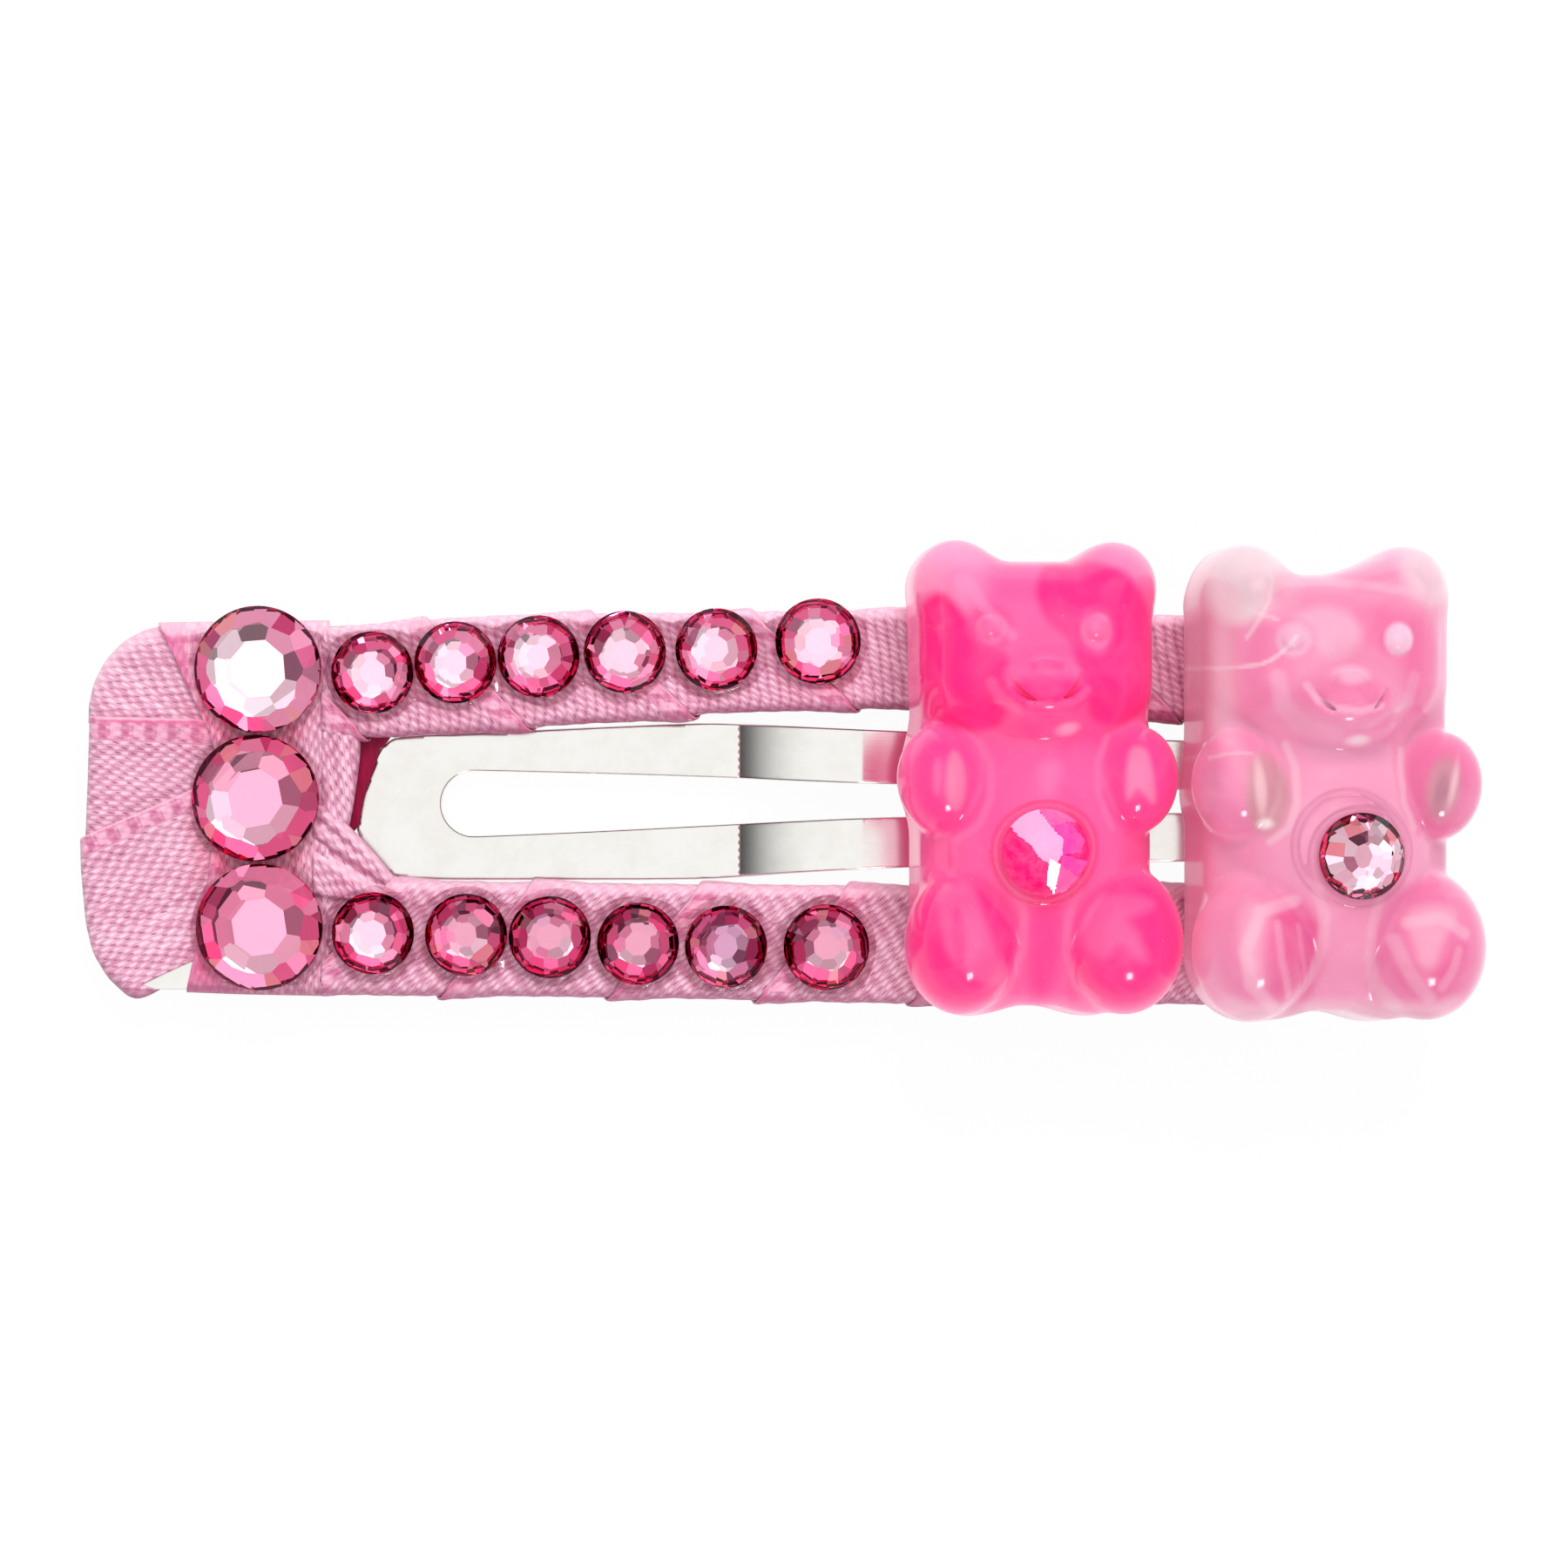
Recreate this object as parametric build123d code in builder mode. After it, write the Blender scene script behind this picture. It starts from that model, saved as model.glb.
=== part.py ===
from build123d import *
import os
from math import cos, pi, radians, sin

# Rhinestone hair clip: a stamped spring-steel snap clip wrapped in satin ribbon,
# with foil-backed flatback stones and two cast resin bears glued on top.
#
# Frame: origin at the bottom centre of the clip's box, +X from the tongue tip
# towards the riveted rear end, +Z out of the decorated face. Millimetres.

os.makedirs("parts", exist_ok=True)

# ---------------------------------------------------------------- dimensions
sheet = 0.60                    # thickness of the spring-steel sheet
frame_low = 0.95                # underside of the outer frame
frame_top = frame_low + sheet
lap_gap = 0.02                  # air between the two lapped rear tabs
lap_top = frame_low - lap_gap
lap_low = lap_top - sheet

origin_x = 0.43                 # shift that centres the whole clip on X = 0
origin_y = -0.06                # shift that centres the whole clip on Y = 0

front_x = -25.41                # front end of the outer frame
rear_x = 23.65                  # rear end of the outer frame
window_front_x = -16.52         # front edge of the window
window_rear_x = 17.26           # rear edge of the window
front_top_radius = 3.2
front_low_radius = 2.0
rear_radius = 2.0

hinge_x = 16.90                 # where the tongue flexes from the rear tabs
hinge_z = frame_low + sheet / 2
bend_x = -1.45                  # end of the flat blade, start of the ramp
ramp_end_x = 2.83               # end of the ramp, start of the root strands

rivet_points = [(19.35, -0.95), (21.95, -0.95)]
rivet_shank_r = 0.60
rivet_hole_r = 0.62
rivet_head_r = 1.15
rivet_head_h = 0.30

ribbon_low = 0.65               # underside of the ribbon wrap
ribbon_top = 1.90               # upper side of the ribbon wrap
ribbon_rear_x = 17.20           # where the leg wraps stop

glue_film = 0.08                # adhesive under the stones
foil = 0.04                     # mirror foil on the backs of the stones
large_d = 4.64                  # large flatback stones
small_d = 3.02                  # small flatback stones
end_d = 3.15                    # the last small stone of each row
belly_d = 3.12                  # stones on the bears' bellies

bear_base_z = 2.00              # lowest point of each bear's flat back
bear_seat_z = 6.30              # flat on the belly where the stone is glued

large_points = [(-19.29, 4.18), (-19.37, -0.57), (-19.23, -5.31)]
top_points = [(-15.11, 4.05), (-12.05, 4.42), (-8.99, 4.64),
              (-5.84, 4.81), (-2.47, 4.90), (1.24, 5.20)]
low_points = [(-15.09, -5.53), (-11.65, -5.59), (-8.59, -5.68),
              (-5.36, -5.92), (-2.11, -6.02), (1.55, -6.05)]
# twist of each stone about its own axis, degrees
large_twist = [9.0, 31.0, 17.0]
top_twist = [12.0, 3.0, 27.0, 38.0, 20.0, 8.0]
low_twist = [33.0, 15.0, 41.0, 6.0, 24.0, 11.0]

# flat back centre, turn about Z and roll about Y of each bear
bear_left_place = (8.90, 0.10, 0.0, 4.0)
bear_right_place = (19.30, -0.10, 0.0, 8.0)
belly_left_at = (-0.05, -2.57)      # belly stones, in each bear's own frame
belly_right_at = (0.38, -2.50)


def at(x, y):
    """A point of the clip, shifted so that the clip's box is centred."""
    return (x + origin_x, y + origin_y)


def poly(points, mode=Mode.ADD):
    """A closed outline through the points, as a face in the current sketch."""
    Polygon(*[at(x, y) for x, y in points], align=None, mode=mode)


def save(builder, name):
    builder.part.label = name
    export_step(builder.part, f"parts/{name}.step")


# ------------------------------------------------------------- outer frame
outer_outline = [
    (front_x, 5.66), (-14.76, 5.76), (-6.42, 5.98), (3.21, 6.18),
    (14.28, 6.08), (rear_x, 5.98), (rear_x, -8.04), (14.28, -8.04),
    (3.21, -7.94), (-6.42, -7.72), (-14.44, -7.65), (front_x, -7.59),
]
window_outline = [
    (window_front_x, 1.78), (-14.76, 1.81), (-9.63, 2.10), (-3.21, 2.68),
    (3.21, 2.87), (14.28, 2.42), (window_rear_x, 2.37),
    (window_rear_x, -3.93), (0.00, -3.96), (-9.63, -3.87),
    (-14.44, -3.74), (window_front_x, -3.71),
]

with BuildPart() as frame_spring:
    with BuildSketch(Plane.XY.offset(frame_low)) as plate:
        poly(outer_outline)
        corner = plate.vertices().sort_by_distance((*at(front_x, 5.66), frame_low))[0]
        fillet(corner, radius=front_top_radius)
        corner = plate.vertices().sort_by_distance((*at(front_x, -7.59), frame_low))[0]
        fillet(corner, radius=front_low_radius)
        corner = plate.vertices().sort_by_distance((*at(rear_x, 5.98), frame_low))[0]
        fillet(corner, radius=rear_radius)
        corner = plate.vertices().sort_by_distance((*at(rear_x, -8.04), frame_low))[0]
        fillet(corner, radius=rear_radius)
        # window between the two legs
        poly(window_outline, mode=Mode.SUBTRACT)
        # end of the upper rear tab, where it stops over the lower one
        poly([(window_rear_x - 0.5, -2.95), (rear_x + 1, -2.95),
              (rear_x + 1, -3.93), (window_rear_x - 0.5, -3.93)], mode=Mode.SUBTRACT)
    extrude(amount=sheet)
    # lower rear tab, joggled down by one sheet thickness
    with BuildSketch(Plane.XY.offset(lap_low)):
        poly([(17.80, -4.50), (23.20, -4.50), (23.20, 1.00), (17.80, 1.00)])
    extrude(amount=sheet)
    with BuildSketch(Plane.XY.offset(lap_low)):
        poly([(17.80, -4.50), (23.20, -4.50), (23.20, -3.75), (17.80, -3.75)])
    extrude(amount=frame_top - lap_low)
    # rivet holes through both tabs
    with BuildSketch(Plane.XY.offset(lap_low - 0.1)):
        with Locations(*[at(x, y) for x, y in rivet_points]):
            Circle(rivet_hole_r)
    extrude(amount=frame_top - lap_low + 0.2, mode=Mode.SUBTRACT)
save(frame_spring, "frame_spring")

# ------------------------------------------------------------- rear rivets
with BuildPart() as rear_rivets:
    with BuildSketch(Plane.XY.offset(0)):
        with Locations(*[at(x, y) for x, y in rivet_points]):
            Circle(rivet_head_r)
    extrude(amount=lap_low)
    with BuildSketch(Plane.XY.offset(frame_top)):
        with Locations(*[at(x, y) for x, y in rivet_points]):
            Circle(rivet_head_r)
    extrude(amount=rivet_head_h)
    with BuildSketch(Plane.XY.offset(0.1)):
        with Locations(*[at(x, y) for x, y in rivet_points]):
            Circle(rivet_shank_r)
    extrude(amount=frame_top + 0.1)
    # rounded heads
    rims = rear_rivets.edges().filter_by(GeomType.CIRCLE).group_by(Axis.Z)
    fillet(rims[0] + rims[-1], radius=0.22)
save(rear_rivets, "rear_rivets")

# ------------------------------------------------------------ inner tongue
tongue_outline = [
    (-15.82, -1.01), (-15.67, -0.63), (-15.46, -0.05), (-15.17, 0.60),
    (-15.07, 1.11), (-14.69, 1.53), (-14.24, 1.72), (-3.22, 2.22),
    (bend_x, 2.17), (0.00, 2.10), (3.21, 1.94), (14.28, 1.56), (17.60, 1.49),
    (17.60, -2.90), (14.28, -2.90), (3.21, -3.16), (0.00, -3.35),
    (bend_x, -3.48), (-3.22, -3.59), (-14.17, -3.59), (-14.72, -3.33),
    (-15.33, -2.79), (-15.82, -1.82),
]
slot_outline = [
    (-11.46, 0.43), (-6.44, 0.31), (-3.22, 0.21), (bend_x, 0.15),
    (0.00, 0.08), (3.21, -0.05), (14.28, -0.27), (17.80, -0.30),
    (17.80, -1.07), (14.28, -1.11), (3.21, -1.27), (0.00, -1.43),
    (bend_x, -1.50), (-3.22, -1.59), (-6.44, -1.76), (-11.46, -1.97),
]

with BuildPart() as tongue_spring:
    with BuildSketch(Plane.XY):
        poly(tongue_outline)
        poly(slot_outline, mode=Mode.SUBTRACT)
        # round front end of the slot
        with Locations(at(-11.46, -0.77)):
            Circle(1.20, mode=Mode.SUBTRACT)
    extrude(amount=frame_top)
    # side profile of the bent sheet: flat blade, rising ramp, raised root
    side = Plane(origin=(0, 0, 0), x_dir=(1, 0, 0), z_dir=(0, -1, 0))
    with BuildSketch(side):
        with BuildLine():
            x0 = -17.0 + origin_x
            x1 = bend_x + origin_x
            x2 = ramp_end_x + origin_x
            x3 = hinge_x + origin_x
            Line((x0, 0), (x1, 0))
            Bezier((x1, 0), (x1 + 1.1, 0.55), (x2 - 1.8, frame_low), (x2, frame_low))
            Line((x2, frame_low), (x3, frame_low))
            ThreePointArc((x3, frame_low), (x3 + sheet / 2, hinge_z), (x3, frame_top))
            Line((x3, frame_top), (x2, frame_top))
            Bezier((x2, frame_top), (x2 - 1.8, frame_top), (x1 + 0.9, 0.55 + sheet),
                   (x1 - 0.2, sheet))
            Line((x1 - 0.2, sheet), (x0, sheet))
            Line((x0, sheet), (x0, 0))
        make_face()
    extrude(amount=20, both=True, mode=Mode.INTERSECT)
save(tongue_spring, "tongue_spring")

# ------------------------------------------------------------- ribbon wraps
ribbon_outlines = {
    "ribbon_top_leg": [
        (-16.50, 5.90), (-14.72, 5.94), (-12.16, 6.16), (-9.60, 6.29),
        (-3.20, 6.35), (3.20, 6.48), (14.24, 6.28), (ribbon_rear_x, 6.22),
        (ribbon_rear_x, 2.12), (14.24, 2.15), (3.20, 2.58), (-3.20, 2.36),
        (-9.60, 1.87), (-14.72, 1.54), (-16.50, 1.50)],
    "ribbon_bottom_leg": [
        (-16.50, -3.46), (-14.72, -3.48), (-9.60, -3.56), (-3.20, -3.64),
        (3.20, -3.68), (14.24, -3.67), (ribbon_rear_x, -3.67),
        (ribbon_rear_x, -8.28), (14.24, -8.28), (3.20, -8.21),
        (-3.20, -8.02), (-9.60, -7.95), (-14.72, -7.93), (-16.50, -7.90)],
    "ribbon_front_corner_band": [
        (-25.86, 2.45), (-25.66, 3.47), (-25.22, 4.37), (-24.48, 5.23),
        (-23.52, 5.80), (-22.98, 5.94), (-22.24, 3.79), (-21.708, 2.32)],
    "ribbon_front_middle_band": [
        (-25.86, 2.45), (-21.708, 2.32), (-21.57, 1.94), (-21.57, -0.14),
        (-25.86, -2.03)],
    "ribbon_front_lower_band": [
        (-25.86, -2.03), (-21.57, -0.14), (-21.57, -6.42), (-22.20, -6.80),
        (-22.90, -7.15), (-23.50, -7.45), (-23.00, -8.00), (-23.70, -8.02),
        (-24.64, -7.56), (-25.34, -6.70), (-25.68, -5.77)],
    "ribbon_front_vertical_band": [
        (-22.98, 5.94), (-16.50, 5.90), (-16.50, -7.90), (-21.95, -7.92),
        (-21.57, -6.42), (-21.57, 1.94), (-22.24, 3.79)],
    "ribbon_crossbar_strand": [
        (-16.50, 1.50), (-15.66, 1.50), (-15.87, -0.05), (-16.06, -1.49),
        (-16.50, -1.10)],
    "ribbon_diagonal_strand": [
        (-16.50, -1.10), (-16.06, -1.49), (-15.61, -1.81), (-14.33, -3.40),
        (-14.72, -3.48), (-16.50, -3.46)],
}


def wrap(outline):
    """Ribbon around the sheet: the outline's full height less the steel inside."""
    with BuildPart() as band:
        with BuildSketch(Plane.XY.offset(ribbon_low)):
            poly(outline)
        extrude(amount=ribbon_top - ribbon_low)
        add(frame_spring.part, mode=Mode.SUBTRACT)
    return band


for node, outline in ribbon_outlines.items():
    save(wrap(outline), node)

# ---------------------------------------------------------- flatback stones
def faceted_stone(diameter):
    """Flat-backed stone: octagonal table, star, main and girdle facets."""
    height = 0.42 * diameter
    with BuildPart() as stone:
        with BuildSketch(Plane.XY):
            Circle(diameter / 2)
        extrude(amount=height)
        # rings of planes: count, first azimuth, radius and height on the plane, slope
        for count, first, r0, z0, slope in (
            (16, 11.25, 0.500, 0.12, 58.0),
            (8, 0.0, 0.225, 0.42, 35.0),
            (8, 22.5, 0.232, 0.42, 21.0),
        ):
            for i in range(count):
                a = radians(first + i * 360.0 / count)
                tilt = radians(slope)
                plane = Plane(
                    origin=(r0 * diameter * cos(a), r0 * diameter * sin(a), z0 * diameter),
                    x_dir=(-sin(a), cos(a), 0),
                    z_dir=(sin(tilt) * cos(a), sin(tilt) * sin(a), cos(tilt)),
                )
                split(bisect_by=plane, keep=Keep.BOTTOM)
    return stone.part


large_stone = faceted_stone(large_d)
small_stone = faceted_stone(small_d)
end_stone = faceted_stone(end_d)
belly_stone = faceted_stone(belly_d)
stone_z = ribbon_top + glue_film + foil


def place_stone(stone, point, twist, name):
    x, y = at(*point)
    with BuildPart() as placed:
        with Locations(Location((x, y, stone_z), (0, 0, twist))):
            add(stone)
    save(placed, name)


for label, point, twist in zip(("top", "middle", "bottom"), large_points, large_twist):
    place_stone(large_stone, point, twist, f"large_stone_{label}")
for i, (point, twist) in enumerate(zip(top_points, top_twist), start=1):
    place_stone(end_stone if i == 6 else small_stone, point, twist, f"top_row_stone_{i}")
for i, (point, twist) in enumerate(zip(low_points, low_twist), start=1):
    place_stone(end_stone if i == 6 else small_stone, point, twist, f"bottom_row_stone_{i}")

# mirror foil on the stones' flat backs
row_sizes = [small_d] * 5 + [end_d]
for node, points, sizes in (
    ("foil_backs_large", large_points, [large_d] * 3),
    ("foil_backs_top_row", top_points, row_sizes),
    ("foil_backs_bottom_row", low_points, row_sizes),
):
    with BuildPart() as foils:
        for point, d in zip(points, sizes):
            with BuildSketch(Plane.XY.offset(ribbon_top + glue_film)):
                with Locations(at(*point)):
                    Circle(d / 2 - 0.04)
            extrude(amount=foil)
    save(foils, node)

# adhesive film that the stones are bedded in
for node, points, sizes, margin in (
    ("glue_large_stones", large_points, [large_d] * 3, 0.30),
    ("glue_top_row", top_points, row_sizes, 0.40),
    ("glue_bottom_row", low_points, row_sizes, 0.40),
):
    with BuildPart() as film:
        with BuildSketch(Plane.XY.offset(ribbon_top)):
            for point, d in zip(points, sizes):
                with Locations(at(*point)):
                    Circle(d / 2 + margin)
            if node != "glue_large_stones":
                with Locations(*[at(*point) for point in large_points]):
                    Circle(large_d / 2 + 0.30, mode=Mode.SUBTRACT)
        extrude(amount=glue_film)
    save(film, node)

# ------------------------------------------------------------ resin bears
# Rounded lumps that stand out of the bear's flat base block: centre, radius.
bear_lumps = [((0.05, 4.20, 7.00), 0.36)]                  # nose
for s in (-1, 1):
    bear_lumps += [
        ((s * 0.90, -1.10, 2.70), 3.75),    # chest
        ((s * 0.90, -3.40, 2.70), 3.75),    # belly
        ((s * 0.55, 4.70, 2.90), 3.75),     # head
        ((s * 0.42, 3.50, 5.75), 1.35),     # muzzle
        ((s * 3.15, 7.50, 3.60), 1.20),     # ear
        ((s * 3.45, 0.20, 4.40), 1.62),     # fore leg
        ((s * 3.45, -0.35, 4.40), 1.62),    # fore paw
        ((s * 2.85, -5.50, 3.70), 2.35),    # hind leg
        ((s * 2.85, -6.22, 3.70), 2.35),    # hind paw
        ((s * 1.90, 5.48, 6.10), 0.60),     # eye
    ]

bear_half_outline = [
    (0.0, 7.55), (1.6, 7.70), (2.4, 8.10), (3.2, 8.45), (4.1, 8.00), (4.25, 7.00),
    (4.35, 5.60), (4.30, 3.90), (3.75, 2.20), (3.95, 1.40), (4.70, 0.60),
    (4.75, -0.60), (4.25, -1.70), (4.20, -3.00), (4.75, -4.40), (4.95, -5.90),
    (4.50, -7.60), (3.00, -8.55), (1.20, -8.45), (0.0, -8.00),
]

with BuildPart() as bear_body:
    with BuildSketch(Plane.XY):
        with BuildLine():
            Polyline(*bear_half_outline, close=True)
        make_face()
        mirror(about=Plane.YZ)
    extrude(amount=3.0, taper=3.0)
    for centre, radius in bear_lumps:
        with Locations(centre):
            Sphere(radius)
    # flat back
    with BuildSketch(Plane.XY):
        Rectangle(30, 30)
    extrude(amount=-6, mode=Mode.SUBTRACT)

for side_name, (bx, by, turn, roll), belly_at, belly_twist in (
    ("left", bear_left_place, belly_left_at, 10),
    ("right", bear_right_place, belly_right_at, 23),
):
    cx, cy = at(bx, by)
    # the back rests on its lowest edge, so the centre rises with the roll
    lift = bear_base_z + 4.95 * sin(radians(roll))
    place = Location((cx, cy, lift)) * Location((0, 0, 0), (0, 0, turn)) \
        * Location((0, 0, 0), (0, roll, 0))
    seat = place * Location((belly_at[0], belly_at[1], bear_seat_z))
    with BuildPart() as bear:
        with Locations(place):
            add(bear_body.part)
        # flat seat of the belly stone
        with Locations(seat):
            Cylinder(1.85, 3, align=(Align.CENTER, Align.CENTER, Align.MIN),
                     mode=Mode.SUBTRACT)
    save(bear, f"bear_{side_name}")
    with BuildPart() as collar:
        with Locations(seat):
            Cylinder(1.80, glue_film, align=(Align.CENTER, Align.CENTER, Align.MIN))
    save(collar, f"bear_{side_name}_belly_glue")
    with BuildPart() as back:
        with Locations(seat * Location((0, 0, glue_film))):
            Cylinder(belly_d / 2 - 0.04, foil, align=(Align.CENTER, Align.CENTER, Align.MIN))
    save(back, f"bear_{side_name}_foil_back")
    with BuildPart() as jewel:
        with Locations(seat * Location((0, 0, glue_film + foil), (0, 0, belly_twist))):
            add(belly_stone)
    save(jewel, f"bear_{side_name}_belly_stone")
    # adhesive between the bear's back and each leg of the clip
    with BuildPart() as pads:
        with BuildSketch(Plane.XY.offset(frame_top)):
            poly([(bx - 3.6, 5.75), (bx + 3.6, 5.75), (bx + 3.6, 2.75), (bx - 3.6, 2.75)])
            poly([(bx - 3.6, -4.15), (bx + 3.6, -4.15), (bx + 3.6, -7.75), (bx - 3.6, -7.75)])
        extrude(amount=1.8)
        add(bear.part, mode=Mode.SUBTRACT)
        for node in ("ribbon_top_leg", "ribbon_bottom_leg"):
            add(wrap(ribbon_outlines[node]).part, mode=Mode.SUBTRACT)
        add(frame_spring.part, mode=Mode.SUBTRACT)
    save(pads, f"bear_{side_name}_glue")
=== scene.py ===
import math

import bmesh
import bpy
import numpy as np
from mathutils import Matrix, Vector
from mathutils.geometry import delaunay_2d_cdt


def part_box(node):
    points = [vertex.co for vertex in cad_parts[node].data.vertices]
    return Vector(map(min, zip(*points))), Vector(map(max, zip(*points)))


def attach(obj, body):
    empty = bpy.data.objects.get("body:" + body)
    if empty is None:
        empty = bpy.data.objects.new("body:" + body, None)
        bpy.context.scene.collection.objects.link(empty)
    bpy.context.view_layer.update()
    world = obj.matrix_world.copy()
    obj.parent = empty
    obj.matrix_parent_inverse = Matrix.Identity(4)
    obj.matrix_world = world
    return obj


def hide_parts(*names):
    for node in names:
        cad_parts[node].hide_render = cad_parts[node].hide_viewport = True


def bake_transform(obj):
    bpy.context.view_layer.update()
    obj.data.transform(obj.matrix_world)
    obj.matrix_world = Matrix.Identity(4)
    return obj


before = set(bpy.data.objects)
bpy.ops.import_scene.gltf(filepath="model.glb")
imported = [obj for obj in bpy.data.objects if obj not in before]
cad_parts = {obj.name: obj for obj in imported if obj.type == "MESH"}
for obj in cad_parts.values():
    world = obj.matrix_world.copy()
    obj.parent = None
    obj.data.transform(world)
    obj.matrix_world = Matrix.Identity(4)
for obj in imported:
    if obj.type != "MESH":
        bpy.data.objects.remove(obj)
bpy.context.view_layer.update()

ROOT = "clip_frame"
MM = 0.001

# The design frame's shift, read from the outer steel frame's box.
_lo, _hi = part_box("frame_spring")
OX = _lo.x / MM + 25.41
OY = _hi.y / MM - 6.18
Z_STEEL = _hi.z / MM                   # top of the outer frame's sheet
_lo, _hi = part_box("ribbon_top_leg")
Z_RIB_LOW = _lo.z / MM
Z_RIB_TOP = _hi.z / MM
_lo, _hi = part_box("tongue_spring")
SHEET = 0.60

rng = np.random.default_rng(7)


def lin(r, g, b, a=1.0):
    """sRGB 0-255 to linear."""
    out = []
    for c in (r, g, b):
        c /= 255.0
        out.append(c / 12.92 if c <= 0.04045 else ((c + 0.055) / 1.055) ** 2.4)
    return (*out, a)


def smooth(t, lo=0.0, hi=1.0):
    t = np.clip((t - lo) / (hi - lo), 0, 1)
    return t * t * (3 - 2 * t)


# ---------------------------------------------------------------- node helper
class Nodes:
    def __init__(self, name):
        self.mat = bpy.data.materials.new(name)
        self.mat.use_nodes = True
        self.t = self.mat.node_tree
        self.t.nodes.clear()
        self.out = self.t.nodes.new("ShaderNodeOutputMaterial")

    def put(self, sock, value):
        if value is None:
            return
        if isinstance(value, bpy.types.NodeSocket):
            self.t.links.new(value, sock)
        else:
            if sock.type == "RGBA" and not hasattr(value, "__len__"):
                value = (value, value, value, 1)
            if sock.type == "RGBA" and len(value) == 3:
                value = (*value, 1)
            sock.default_value = value

    def node(self, kind, ins=None, **props):
        n = self.t.nodes.new(kind)
        for k, v in props.items():
            setattr(n, k, v)
        for k, v in (ins or {}).items():
            self.put(n.inputs[k], v)
        return n

    def m(self, op, a, b=None, c=None, clamp=False):
        n = self.t.nodes.new("ShaderNodeMath")
        n.operation = op
        n.use_clamp = clamp
        self.put(n.inputs[0], a)
        self.put(n.inputs[1], b)
        self.put(n.inputs[2], c)
        return n.outputs[0]

    def ss(self, x, lo, hi, a=0.0, b=1.0):
        """smoothstep of x between lo and hi, out a to b"""
        n = self.t.nodes.new("ShaderNodeMapRange")
        n.interpolation_type = "SMOOTHSTEP"
        for k, v in zip(("Value", "From Min", "From Max", "To Min", "To Max"), (x, lo, hi, a, b)):
            self.put(n.inputs[k], v)
        return n.outputs[0]

    def mix(self, f, a, b, mode="MIX"):
        n = self.t.nodes.new("ShaderNodeMix")
        n.data_type = "RGBA"
        n.blend_type = mode
        n.clamp_factor = True
        self.put(n.inputs[0], f)
        self.put(n.inputs[6], a)
        self.put(n.inputs[7], b)
        return n.outputs[2]

    def noise(self, vec, scale, detail=2.0, rough=0.5, dist=0.0, out=0):
        n = self.node("ShaderNodeTexNoise", {"Scale": scale, "Detail": detail,
                                            "Roughness": rough, "Distortion": dist})
        if vec is not None:
            self.put(n.inputs["Vector"], vec)
        return n.outputs[out]

    def obj(self):
        """object coordinates in millimetres"""
        c = self.node("ShaderNodeTexCoord")
        v = self.node("ShaderNodeVectorMath", operation="SCALE")
        self.put(v.inputs[0], c.outputs["Object"])
        v.inputs["Scale"].default_value = 1000.0
        return v.outputs[0]

    def bump(self, h, strength=0.5, dist=0.02, normal=None):
        n = self.node("ShaderNodeBump", {"Strength": strength, "Distance": dist * MM, "Height": h})
        if normal is not None:
            self.put(n.inputs["Normal"], normal)
        return n.outputs[0]

    def attr(self, name, out="Color"):
        return self.node("ShaderNodeAttribute", attribute_name=name).outputs[out]

    def principled(self, **ins):
        n = self.t.nodes.new("ShaderNodeBsdfPrincipled")
        for k, v in ins.items():
            self.put(n.inputs[k.replace("_", " ")], v)
        return n

    def done(self, shader):
        self.t.links.new(shader, self.out.inputs["Surface"])
        return self.mat


# --------------------------------------------------------------- mesh helpers
def add_mesh(name, V, F, mats, body=ROOT, nodes=(), shade=True, uv=None,
             colors=None, floats=None, mat_index=None, clean=True):
    """Closed mesh from points in the design frame (mm); returns the object riding on its body."""
    V = np.asarray(V, float)
    me = bpy.data.meshes.new(name)
    me.from_pydata(((V + np.array([OX, OY, 0.0])) * MM).tolist(), [], [list(map(int, f)) for f in F])
    me.update()
    if uv is not None:
        layer = me.uv_layers.new(name="rib")
        idx = np.zeros(len(me.loops), np.int32)
        me.loops.foreach_get("vertex_index", idx)
        layer.data.foreach_set("uv", np.asarray(uv, np.float32)[idx].ravel())
    for key, val in (colors or {}).items():
        a = me.color_attributes.new(key, "FLOAT_COLOR", "POINT")
        val = np.asarray(val, np.float32)
        if val.shape[1] == 3:
            val = np.hstack([val, np.ones((len(val), 1), np.float32)])
        a.data.foreach_set("color", val.ravel())
    for key, val in (floats or {}).items():
        a = me.attributes.new(key, "FLOAT", "POINT")
        a.data.foreach_set("value", np.asarray(val, np.float32).ravel())
    for m in (mats if isinstance(mats, (list, tuple)) else [mats]):
        me.materials.append(m)
    if mat_index is not None:
        me.polygons.foreach_set("material_index", np.asarray(mat_index, np.int32))
    me.polygons.foreach_set("use_smooth", [bool(shade)] * len(me.polygons))
    ob = bpy.data.objects.new(name, me)
    bpy.context.scene.collection.objects.link(ob)
    if clean:
        bm = bmesh.new()
        bm.from_mesh(me)
        bmesh.ops.remove_doubles(bm, verts=bm.verts, dist=2e-6)
        bmesh.ops.dissolve_degenerate(bm, edges=bm.edges, dist=1e-7)
        bmesh.ops.recalc_face_normals(bm, faces=bm.faces)
        bm.to_mesh(me)
        bm.free()
    if body:
        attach(ob, body)
    if nodes:
        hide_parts(*nodes)
    return ob


def chaikin(pts, times=2, keep=()):
    """Rounds a closed outline; the corners whose index is in keep stay sharp."""
    pts = [tuple(p) for p in pts]
    sharp = {pts[i] for i in keep}
    for _ in range(times):
        out = []
        n = len(pts)
        for i in range(n):
            p, q = pts[i], pts[(i + 1) % n]
            a = p if p in sharp else (p[0] * .75 + q[0] * .25, p[1] * .75 + q[1] * .25)
            b = q if q in sharp else (p[0] * .25 + q[0] * .75, p[1] * .25 + q[1] * .75)
            out.append(a)
            if q not in sharp:
                out.append(b)
        pts = out
    return pts


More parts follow.
